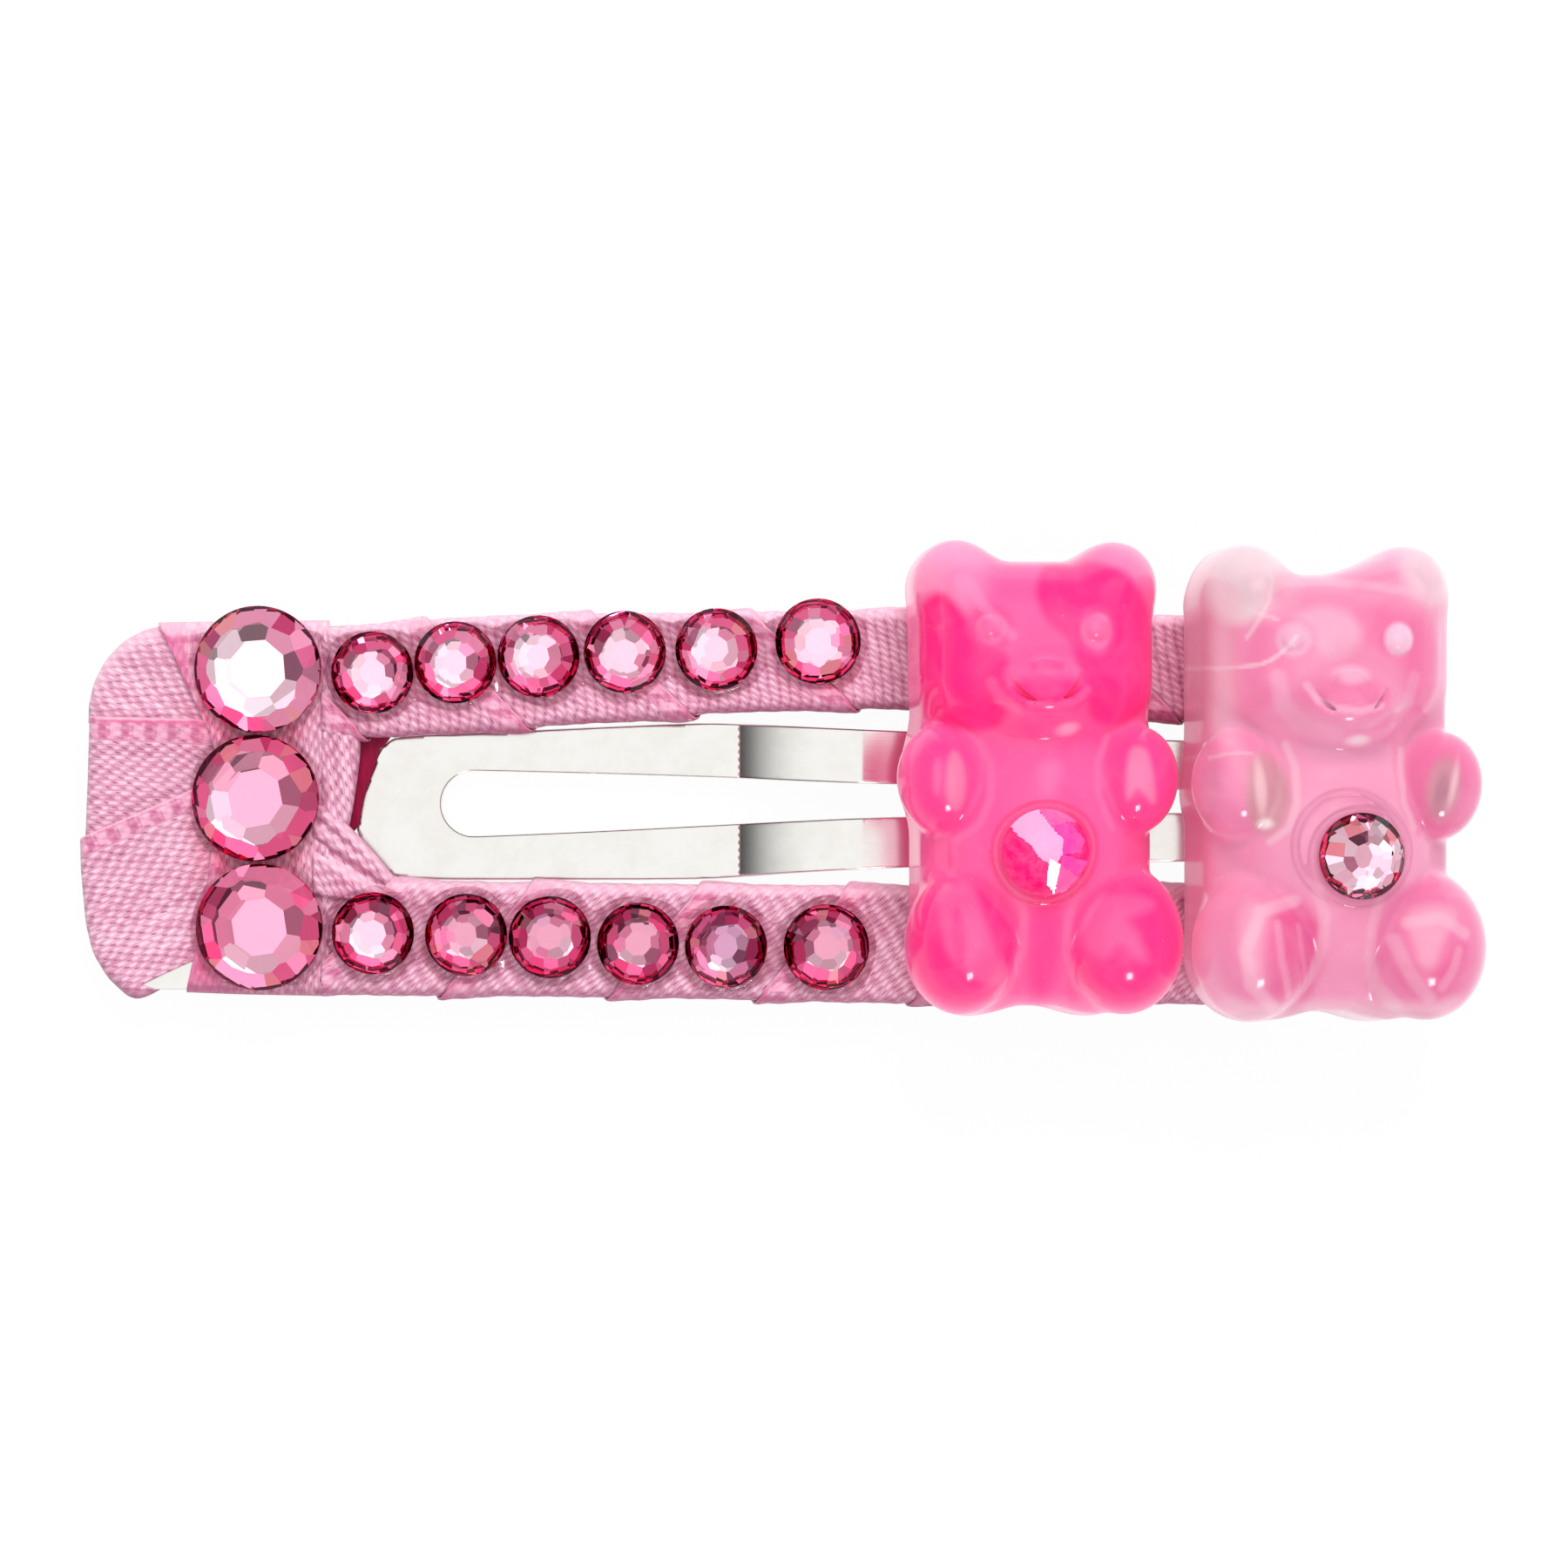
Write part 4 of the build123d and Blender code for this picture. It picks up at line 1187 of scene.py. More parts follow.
def bear_field(P, v, seat):
    x, y, z = P[..., 0], P[..., 1], P[..., 2]
    fy = -0.25 * v
    # base block: one nearly straight-sided slab with small lobes, tapering a little towards the front
    bx, bw, top = (-0.14, 4.62, 7.50) if v else (-0.03, 4.30, 7.80)
    f = rbox2(x, y, bx, (top - 1.5) / 2, bw, (top + 1.5) / 2, 1.1)
    f = smin(f, rbox2(x, y, bx * 0.8, -3.2, bw + 0.02, 5.1, 2.3), 0.5)
    for s in (-1, 1):
        f = smin(f, np.hypot(x - s * 2.85 - bx * (1.6 if s < 0 else 0.5), y - 7.27) - (1.42 if s < 0 else 1.28), 0.8)
        f = smin(f, np.hypot(x - s * 3.15, (y - 0.2) / 1.3) - 1.48, 0.7)
        f = smin(f, np.hypot(x - s * 2.22 - bx * 0.5, y + 6.45) - 2.12, 0.7)
    f = smax(f, -(np.hypot(x, y + 9.55) - 1.0), 0.6)             # notch between the feet
    d = smax(f + 0.06 * z, z - 4.1, 1.3)
    hx = bx * 0.6
    head = smax(rbox2(x, y, hx, 4.80, 4.10, top - 4.72, 1.9),
                z - (6.25 - 0.055 * (x - hx) ** 2 - 0.045 * (y - 4.8) ** 2), 2.1)
    body = ell(P, (bx * 0.4, -2.4, 2.5), (3.95, 5.4, 3.95))
    d = smin(d, smin(head, body, 1.5), 0.6)
    d = smin(d, ell(P, (0.05, 3.25 + fy, 5.25), (1.95, 1.50, 1.90)), 0.60)   # muzzle
    paws = ((-3.50, 1.62), (3.45, 1.60)) if not v else ((-3.62, 1.62), (3.74, 1.62))
    feet = ((-2.66, 2.14), (3.02, 2.26)) if not v else ((-2.95, 2.20), (3.26, 2.30))
    for s, (px, pr), (qx, qr) in zip((-1, 1), paws, feet):
        ex = s * 2.85 + bx * (1.6 if s < 0 else 0.5)
        d = smin(d, ell(P, (ex, 7.15, 2.6), (1.38, 1.38, 3.1)), 0.75)         # ear
        d = smin(d, ell(P, (px, 0.0, 4.05), (pr, 1.98, 1.80), -s * 0.12), 0.34)   # fore paw
        d = smin(d, ell(P, (qx, -5.72, 3.75), (qr, 2.74, 2.55), s * 0.12), 0.30)  # hind paw
    if v:
        # the right bear's right ear runs down to the head in a long slope
        d = smin(d, ell(P, (1.55, 7.40, 3.2), (1.9, 0.72, 2.3), 0.30), 0.6)
    # eye sockets and eyes
    d = smax(d, -ell(P, (-1.97, 5.48 + fy, 6.52), (0.74, 0.74, 0.62)), 0.22)
    d = smin(d, ell(P, (-1.95, 5.50 + fy, 5.86), (0.46, 0.46, 0.40)), 0.14)
    d = smax(d, -ell(P, (1.87, 5.36 + fy, 6.52), (0.68, 0.86, 0.62)), 0.22)
    d = smin(d, ell(P, (1.85, 5.50 + fy, 5.88), (0.50, 0.52, 0.40)), 0.16)
    # nose and smile
    d = smin(d, ell(P, (0.0, 4.15 + fy, 6.78), (0.58, 0.29, 0.28)), 0.18)
    ang = np.arctan2(y - (4.35 + fy), x)
    rr = np.hypot(x, y - (4.35 + fy))
    arc = np.hypot(rr - 1.50, (z - 6.72) * 0.6)
    mouth = np.where((ang > -math.pi * 0.86) & (ang < -math.pi * 0.14), arc - (0.13 if not v else 0.10), 1.0)
    d = smax(d, -mouth, 0.16)
    # seat of the belly stone
    d = smax(d, -(np.maximum(np.hypot(x - seat[0], y - seat[1]) - 1.72, 6.30 - z)), 0.12)
    return smax(d, -z, 0.10)


def soft_poly(P, pts, soft):
    """1 inside the outline, fading over soft mm, 0 outside."""
    pts = chaikin(pts, 2)
    d = seg_dist(P, pts, True)
    d = np.where(inside(P, pts), -d, d)
    return 1 - smooth(d, -soft, soft)


def soft_ell(P, c, r, turn, soft):
    x, y = P[:, 0] - c[0], P[:, 1] - c[1]
    a = math.radians(turn)
    x, y = x * math.cos(a) + y * math.sin(a), -x * math.sin(a) + y * math.cos(a)
    k = np.sqrt((x / r[0]) ** 2 + (y / r[1]) ** 2)
    return 1 - smooth((k - 1) * min(r), -soft, soft)


def paint(V, layers, base, gain):
    """Layers of (mask function or polygon, colour, strength) over a base colour, in bear coordinates."""
    P = V[:, :2]
    col = np.tile(np.array(lin(*base)[:3]), (len(V), 1))
    clear = np.zeros(len(V))
    for lay in layers:
        kind, geo, soft, color, amount = lay[:5]
        if kind == "poly":
            m = soft_poly(P, geo, soft)
        elif kind == "ell":
            m = soft_ell(P, geo[0], geo[1], geo[2], soft)
        elif kind == "line":
            m = 1 - smooth(seg_dist(P, geo), soft * 0.3, soft)
        elif kind == "low":
            m = 1 - smooth(V[:, 2], geo[0], geo[1])
        m = m * amount
        if len(lay) > 5 and lay[5] == "front":
            m = m * smooth(V[:, 2], 2.2, 3.6)
        if color == "clear":
            clear = clear * (1 - m) + m
        else:
            col = col * (1 - m[:, None]) + np.array(lin(*color)[:3]) * m[:, None]
            if len(lay) > 5 and lay[-1] == "solid":
                clear = clear * (1 - m)
    return col * np.array(gain), clear


HOT = (255, 46, 138)
MIDP = (253, 104, 166)
LITE = (253, 160, 198)
LEFT_LAYERS = [
    # milky light zones near the ears and flanks
    ("ell", ((-3.3, 7.6), (1.3, 1.5), 0), 0.7, LITE, 0.75),
    ("ell", ((3.2, 7.9), (1.0, 0.8), 0), 0.5, (253, 138, 184), 0.6),
    ("poly", [(-5.2, 8.2), (-4.1, 8.2), (-4.35, 0), (-4.35, -8), (-5.2, -8)], 0.25, (252, 140, 186), 0.55),
    ("poly", [(-3, -8.9), (3, -8.9), (4.4, -7.6), (3.2, -7.9), (0, -7.7), (-3.2, -7.9), (-4.4, -7.6)], 0.3, (253, 128, 180), 0.8),
    # saturated depths of the face
    ("poly", [(-4.5, 6.0), (-3.75, 6.9), (-3.1, 6.3), (-2.45, 5.2), (-1.2, 4.5), (-1.55, 3.6), (-1.3, 2.6),
              (-1.6, 1.7), (-3.9, 1.9), (-4.5, 3.6)], 0.20, HOT, 0.96),
    ("poly", [(-0.15, 7.5), (0.6, 8.1), (2.4, 7.8), (3.5, 7.0), (4.3, 5.4), (4.3, 2.8), (2.9, 1.9), (1.6, 2.1),
              (1.5, 3.2), (1.1, 4.3), (0.9, 5.0), (0.1, 5.6), (-0.35, 6.5)], 0.22, HOT, 0.92),
    ("ell", ((0.1, 3.05), (1.75, 0.62), 0), 0.25, HOT, 0.8),
    ("poly", [(-1.5, 2.2), (2.2, 2.2), (2.8, 1.2), (-1.0, 1.1)], 0.5, (254, 70, 150), 0.6),
    # painted shade in the eye sockets and painted light on the eyes
    ("ell", ((-1.95, 5.48), (0.84, 0.82), 0), 0.18, (248, 76, 148), 0.65),
    ("ell", ((-1.90, 5.44), (0.58, 0.56), 0), 0.16, (253, 128, 180), 0.70),
    ("ell", ((-2.02, 5.56), (0.26, 0.24), 0), 0.14, (250, 100, 160), 0.6),
    ("ell", ((1.87, 5.36), (0.74, 0.92), 0), 0.14, (252, 90, 158), 0.5),
    ("ell", ((1.87, 5.34), (0.56, 0.66), 0), 0.13, (253, 132, 182), 0.75),
    ("ell", ((0.0, 4.25), (0.84, 0.38), 0), 0.16, (253, 108, 168), 0.6),
    # painted shade under the nose
    ("ell", ((0.05, 4.12), (0.56, 0.16), 0), 0.12, (250, 66, 144), 0.6),
    ("line", [(-1.9, 3.5), (-1.6, 2.9), (-1.1, 2.55)], 0.30, (253, 124, 178), 0.45),
    ("line", [(-0.6, 2.72), (0.3, 2.62), (1.1, 2.85), (1.5, 3.25)], 0.22, (253, 120, 176), 0.45),
    # painted highlight on the chin, with a soft pink surround
    ("ell", ((0.85, 1.84), (0.40, 0.20), 12), 0.12, (255, 222, 236), 0.9),
    ("ell", ((0.85, 1.84), (0.75, 0.34), 12), 0.25, (254, 120, 176), 0.4),
    # fore paws: lit teardrops inside saturated rims
    ("ell", ((-3.5, -0.1), (1.45, 1.85), 0), 0.30, (254, 62, 146), 0.72),
    ("ell", ((3.6, -0.1), (1.45, 1.85), 0), 0.30, (254, 62, 146), 0.72),
    ("poly", [(-3.35, 1.1), (-3.0, 1.0), (-2.75, 0.2), (-2.85, -0.9), (-3.15, -1.15), (-3.5, -0.8), (-3.55, 0.1)], 0.16, (246, 142, 176), 0.85),
    ("poly", [(-3.9, 0.9), (-3.65, 0.6), (-3.75, -0.6), (-4.0, -0.4)], 0.14, (250, 120, 170), 0.7),
    ("poly", [(3.1, 1.2), (3.75, 1.25), (3.95, 0.3), (4.1, -1.0), (3.6, -0.5), (3.35, -0.2), (3.0, -0.9), (2.95, 0.2)], 0.16, (248, 146, 182), 0.8),
    # belly
    ("poly", [(-2.6, 1.4), (2.6, 1.4), (2.3, -1.6), (2.2, -3.4), (-2.2, -3.4), (-2.4, -1.4)], 0.8, (250, 104, 168), 0.75),
    ("poly", [(-0.3, 0.6), (0.7, 0.8), (0.5, -0.4), (-0.1, -0.6)], 0.35, (252, 140, 188), 0.6),
    # hind paws
    ("ell", ((-2.85, -5.85), (1.95, 2.35), 6), 0.30, HOT, 0.86),
    ("ell", ((3.0, -5.85), (2.0, 2.35), -6), 0.30, HOT, 0.80),
    ("poly", [(-3.75, -3.6), (-2.5, -3.5), (-2.35, -4.3), (-1.9, -5.6), (-1.35, -7.1), (-1.9, -7.45), (-2.9, -6.9),
              (-3.55, -6.2), (-3.8, -5.0)], 0.22, (253, 108, 164), 0.80),
    ("poly", [(-3.3, -4.6), (-3.05, -4.5), (-2.75, -6.2), (-3.05, -6.9), (-3.35, -6.0)], 0.15, HOT, 0.5),
    ("poly", [(1.5, -4.4), (2.6, -4.0), (4.2, -4.3), (3.6, -4.8), (2.8, -4.9), (3.4, -5.6), (3.9, -6.6), (3.2, -6.4),
              (2.7, -5.7), (2.2, -6.6), (1.5, -6.2), (1.3, -5.4)], 0.25, (253, 112, 168), 0.70),
    ("poly", [(-0.5, -3.6), (0.7, -3.6), (0.55, -7.8), (-0.45, -7.8)], 0.35, (254, 66, 148), 0.7),
    ("line", [(-1.1, -3.8), (-0.72, -4.8), (-0.70, -6.0), (-1.0, -7.0), (-1.6, -7.7)], 0.22, (254, 128, 178), 0.55),
    ("line", [(1.2, -4.0), (0.85, -5.0), (0.85, -6.2), (1.3, -7.3), (2.0, -7.9)], 0.22, (254, 128, 178), 0.5),
    ("line", [(-2.2, 1.4), (-1.85, 0.6), (-1.9, -0.6), (-2.3, -1.6), (-3.0, -2.1)], 0.20, (254, 132, 182), 0.5),
    ("line", [(2.4, 1.6), (2.0, 0.6), (2.0, -0.6), (2.5, -1.7)], 0.20, (254, 132, 182), 0.5),
    ("line", [(-3.3, 8.3), (-2.6, 6.9), (-2.0, 6.0), (-1.2, 5.2)], 0.30, (253, 150, 192), 0.5),
    ("low", (0.2, 1.6), 0, (252, 120, 176), 0.35),
]

R_BASE = (246, 150, 190)
R_HOT = (242, 96, 158)
R_PALE = (243, 196, 216)
RIGHT_LAYERS = [
    ("poly", [(-4.9, 8.4), (-3.75, 8.4), (-3.95, 5.0), (-3.9, 1.8), (-4.9, 1.8)], 0.30, (232, 168, 192), 0.75),
    ("poly", [(-5.2, 8.6), (-4.4, 8.6), (-4.6, -3.6), (-5.2, -3.6)], 0.25, "clear", 0.22),
    ("ell", ((-3.3, 7.5), (1.6, 1.5), 0), 0.55, (246, 214, 226), 0.9),
    ("poly", [(-4.6, 8.9), (-2.2, 8.9), (-1.2, 7.4), (-2.9, 6.2), (-4.3, 5.6)], 0.35, (246, 212, 225), 0.8),
    ("ell", ((3.2, 7.6), (1.1, 1.1), 0), 0.45, (246, 206, 222), 0.85),
    ("ell", ((-3.35, 7.55), (1.05, 1.1), 0), 0.45, "clear", 0.26),
    ("ell", ((3.2, 7.8), (0.8, 0.8), 0), 0.40, "clear", 0.20),
    ("poly", [(-2.6, 7.6), (-1.0, 8.0), (1.5, 7.8), (2.6, 6.9), (2.9, 5.2), (2.6, 3.6), (1.6, 2.4), (-1.5, 2.4),
              (-2.9, 3.6), (-3.2, 5.6)], 0.5, (244, 140, 182), 0.80),
    ("poly", [(0.2, 6.6), (1.6, 6.4), (3.6, 6.0), (3.7, 3.0), (2.4, 2.4), (2.2, 4.2), (1.3, 4.9), (0.4, 5.0)], 0.35, (243, 112, 166), 0.75),
    ("poly", [(-3.6, 5.2), (-2.9, 6.2), (-1.8, 4.6), (-2.4, 3.0), (-3.6, 2.4)], 0.4, (244, 122, 172), 0.65),
    ("poly", [(-2.2, 5.9), (-0.8, 6.6), (0.6, 5.8), (0.2, 4.7), (-1.0, 4.5)], 0.3, (247, 176, 206), 0.7),
    # painted shade in the eye socket and painted light on the eyes
    ("ell", ((-1.97, 5.23), (0.84, 0.84), 0), 0.16, (238, 134, 180), 0.5),
    ("ell", ((-1.95, 5.23), (0.60, 0.60), 0), 0.16, (252, 190, 220), 0.65),
    ("ell", ((1.87, 5.26), (0.52, 0.58), 0), 0.12, (255, 204, 230), 0.8),
    ("ell", ((0.05, 3.3), (1.7, 0.75), 0), 0.3, (240, 110, 164), 0.55),
    ("ell", ((0.0, 3.97), (0.66, 0.34), 0), 0.14, (253, 186, 216), 0.6),
    ("line", [(-2.5, 3.9), (-2.3, 2.9), (-1.5, 2.1), (-0.5, 1.8)], 0.42, (250, 180, 210), 0.45),
    ("line", [(1.7, 2.2), (2.3, 3.0), (2.5, 3.9)], 0.35, (250, 180, 210), 0.30),
    ("line", [(-1.55, 3.6), (-1.25, 3.1), (-0.7, 2.78), (0.2, 2.65), (1.05, 2.88)], 0.20, (253, 192, 220), 0.55),
    # painted highlight on the chin
    ("ell", ((0.4, 1.62), (0.42, 0.17), 0), 0.12, (255, 240, 247), 0.95),
    # chest and belly: milky
    ("poly", [(-2.4, 1.5), (2.6, 1.5), (2.4, -1.8), (2.2, -3.6), (-2.4, -3.6), (-2.6, -1.6)], 0.8, (246, 160, 196), 0.8),
    # fore paws: greyish clear centres
    ("ell", ((-3.7, 0.0), (1.5, 1.9), 0), 0.35, (240, 124, 172), 0.60),
    ("ell", ((3.7, 0.0), (1.5, 1.9), 0), 0.35, (238, 104, 160), 0.70),
    ("ell", ((-2.85, -0.25), (0.82, 1.45), 4), 0.22, (214, 146, 160), 0.95),
    ("ell", ((-3.1, -0.1), (0.22, 1.0), 6), 0.12, (250, 200, 212), 0.75),
    # painted highlight at the lower end of the left fore paw
    ("ell", ((-2.85, -1.35), (0.26, 0.18), 0), 0.12, (255, 232, 240), 0.8),
    ("ell", ((3.60, -0.1), (0.62, 1.15), -8), 0.20, (212, 140, 160), 0.95),
    ("ell", ((3.50, -0.2), (0.24, 0.70), -8), 0.12, (178, 112, 136), 0.7),
    ("ell", ((3.95, 0.1), (0.12, 0.75), -12), 0.10, (250, 206, 220), 0.6),
    # hind paws
    ("ell", ((-2.75, -5.75), (1.95, 2.35), 6), 0.35, (243, 134, 178), 0.75),
    ("ell", ((3.0, -5.75), (2.0, 2.40), -6), 0.30, (240, 116, 168), 0.75),
    ("poly", [(-2.7, -3.9), (-1.2, -4.2), (-0.9, -5.4), (-1.3, -7.0), (-2.0, -7.4), (-2.3, -5.6)], 0.3, (238, 92, 152), 0.70),
    ("poly", [(-3.9, -4.2), (-3.0, -4.0), (-2.8, -5.8), (-2.4, -7.3), (-3.4, -7.0), (-4.0, -5.8)], 0.25, (246, 168, 198), 0.65),
    ("poly", [(1.9, -4.5), (3.4, -4.1), (4.3, -4.6), (3.4, -5.4), (3.1, -6.8), (2.6, -7.2), (2.5, -5.8)], 0.25, (248, 176, 204), 0.60),
    ("poly", [(1.6, -6.2), (2.4, -7.4), (3.6, -7.3), (4.5, -5.8), (4.0, -5.6), (3.3, -6.6), (2.6, -6.4)], 0.25, (238, 92, 150), 0.5),
    ("poly", [(-3.4, -9.0), (3.4, -9.0), (4.6, -7.4), (3.0, -7.9), (0, -7.6), (-3.0, -7.9), (-4.6, -7.4)], 0.3, (246, 178, 204), 0.85),
    ("poly", [(-3.4, -9.2), (3.4, -9.2), (4.4, -8.1), (0, -8.0), (-4.4, -8.1)], 0.2, "clear", 0.35),
    ("ell", ((-1.95, -6.2), (1.20, 1.85), 8), 0.28, (236, 92, 152), 0.70),
    ("line", [(-1.9, -4.1), (-3.2, -4.5), (-3.75, -5.9), (-3.5, -7.1), (-2.6, -7.9)], 0.34, (251, 200, 220), 0.42),
    ("line", [(-2.6, -4.9), (-2.45, -6.2), (-2.0, -7.5)], 0.22, (250, 176, 206), 0.40),
    ("line", [(-1.75, -5.0), (-1.6, -6.0), (-1.35, -6.9)], 0.16, (246, 150, 190), 0.40),
    ("line", [(2.2, -4.9), (3.4, -4.7), (4.3, -5.3)], 0.32, (251, 194, 216), 0.42),
    ("line", [(1.75, -5.5), (2.1, -6.3), (2.5, -7.0), (3.1, -7.6)], 0.34, (251, 190, 214), 0.42),
    ("line", [(4.05, -5.9), (3.85, -6.6), (3.5, -7.2)], 0.26, (251, 190, 214), 0.36),
    ("line", [(-1.15, -3.7), (-0.85, -4.6), (-0.80, -5.8), (-1.05, -6.9), (-1.6, -7.7), (-2.4, -8.1)], 0.30, (250, 190, 212), 0.35),
    ("line", [(1.15, -4.1), (0.95, -5.0), (1.0, -6.2), (1.4, -7.2), (2.1, -7.9)], 0.30, (250, 190, 212), 0.35),
    ("line", [(-2.0, 1.5), (-1.75, 0.7), (-1.8, -0.6), (-2.1, -1.5), (-2.7, -2.0)], 0.20, (249, 196, 216), 0.5),
    ("line", [(2.3, 1.3), (2.15, 0.5), (2.2, -0.6), (2.6, -1.5)], 0.20, (249, 196, 216), 0.5),
    ("line", [(-3.1, 6.9), (-2.0, 7.3), (-0.6, 7.35), (0.8, 7.2), (2.2, 7.0), (3.2, 6.7)], 0.25, (249, 190, 212), 0.4),
    ("low", (0.1, 1.3), 0, (240, 170, 198), 0.4),
    ("low", (0.0, 0.9), 0, "clear", 0.35),
    ("line", [(-4.9, 4.30), (-4.3, 4.22), (-3.7, 4.26), (-3.1, 4.34), (-2.7, 4.52), (-2.3, 4.85), (-1.9, 5.35)], 0.11, (250, 218, 230), 0.55),
    ("line", [(-4.2, 6.8), (-3.7, 6.45), (-3.1, 6.15), (-2.5, 5.95)], 0.10, (250, 218, 230), 0.4),
    ("line", [(-2.75, 7.9), (-2.65, 7.3), (-2.8, 6.6), (-3.15, 5.9), (-3.5, 5.3)], 0.11, (252, 226, 236), 0.35),
    ("line", [(-4.8, 1.0), (-4.4, 1.12), (-3.9, 1.2), (-3.4, 1.15)], 0.10, (248, 210, 224), 0.35),
    ("ell", ((-4.05, 3.2), (0.35, 2.2), 4), 0.35, (250, 196, 216), 0.35),
]

M_BEAR_L = resin_material("hot_pink_resin", lin(252, 132, 178), None, (0.95, 0.45, 0.62, 1), 0.40)
M_BEAR_R = resin_material("pale_pink_resin", lin(243, 186, 208), None, (0.93, 0.76, 0.82, 1), 0.6)

def neon_material(name, rgb, glow):
    g = Nodes(name)
    p = g.obj()
    n1 = g.noise(p, 3.0, 3.0, 0.6)
    col = g.mix(g.ss(n1, 0.35, 0.7, 0.0, 0.16), lin(*rgb), lin(255, 130, 180))
    s = g.principled(Base_Color=col, Roughness=0.06)
    # painted glow: emission lifts the stone's tones as if lit; the white tone is a painted highlight
    g.put(s.inputs["Emission Color"], col)
    s.inputs["Emission Strength"].default_value = glow
    s.inputs["Specular IOR Level"].default_value = 0.4
    return g.done(s.outputs[0])


NEON = [neon_material("neon_deep", (248, 16, 104), 0.15), neon_material("neon_mid", (246, 60, 150), 0.15),
        neon_material("neon_pale", (252, 150, 190), 0.2), neon_material("neon_white", (255, 240, 246), 0.45),
        neon_material("neon_edge", (255, 84, 150), 0.15)]


NEON_PATCHES = (          # outlines of the lit facets in mm from the stone's centre, and their tone
    (3, ((0.08, -0.22), (0.46, -0.42), (0.28, -1.46), (-0.02, -1.10), (0.02, -0.60))),
    (2, ((-1.30, 1.02), (-0.90, 1.40), (-0.30, 1.56), (0.10, 0.98), (0.56, 0.46), (0.50, -0.10), (0.22, -0.48),
         (-0.34, -0.14), (-0.58, 0.26), (-1.14, 0.72))),
    (1, ((0.10, 1.00), (0.42, 0.98), (0.82, 1.10), (1.40, 0.42), (1.20, 0.00), (0.52, -0.08), (0.56, 0.46))),
    (1, ((0.52, -0.08), (1.50, -0.30), (1.10, -0.90), (0.46, -0.42))),
    (4, ((-0.30, 1.58), (0.55, 1.50), (1.20, 1.05), (0.82, 1.12), (0.42, 0.98), (0.10, 0.98))),
    (4, ((1.10, -0.90), (0.70, -1.40), (0.28, -1.46), (0.46, -0.42))),
)


def neon_stone(D):
    """Opaque stone: a low crown of seven flat facets over a girdle, each facet with a painted tone of light or shade.
    """
    r, gird, top = D / 2, 0.15 * D, 0.40 * D
    n, m = 120, 30
    th = np.arange(n) * 2 * math.pi / n
    az = np.radians([18, 66, 118, 160, 208, 256, 304])
    rr = np.concatenate([r * np.linspace(0, 1, m)])
    V = [(0.0, 0.0, top)]
    for q in rr[1:]:
        drop = np.max(np.cos(th[:, None] - az[None, :]), axis=1) * q
        z = top - drop / r * (top - gird) * (0.55 + 0.45 * (q / r) ** 3)
        V += list(zip(q * np.cos(th), q * np.sin(th), z))
    V += list(zip(r * np.cos(th), r * np.sin(th), np.full(n, 0.04 * D)))
    V += list(zip(r * 0.95 * np.cos(th), r * 0.95 * np.sin(th), np.zeros(n)))
    V = np.array(V)
    F = [(0, 1 + i, 1 + (i + 1) % n) for i in range(n)]
    for k in range(m):
        a, b = 1 + k * n, 1 + (k + 1) * n
        F += [(a + i, b + i, b + (i + 1) % n, a + (i + 1) % n) for i in range(n)]
    last = 1 + m * n
    F.append(tuple(range(last + n - 1, last - 1, -1)))
    cen = np.array([V[list(f)].mean(0)[:2] for f in F])
    tone = np.zeros(len(F), int)
    for t, poly in NEON_PATCHES[::-1]:
        tone[inside(cen, poly)] = t
    tone[n + (m - 1) * n:] = 0
    tone[-1] = len(NEON)
    return V, F, [int(t) for t in tone]


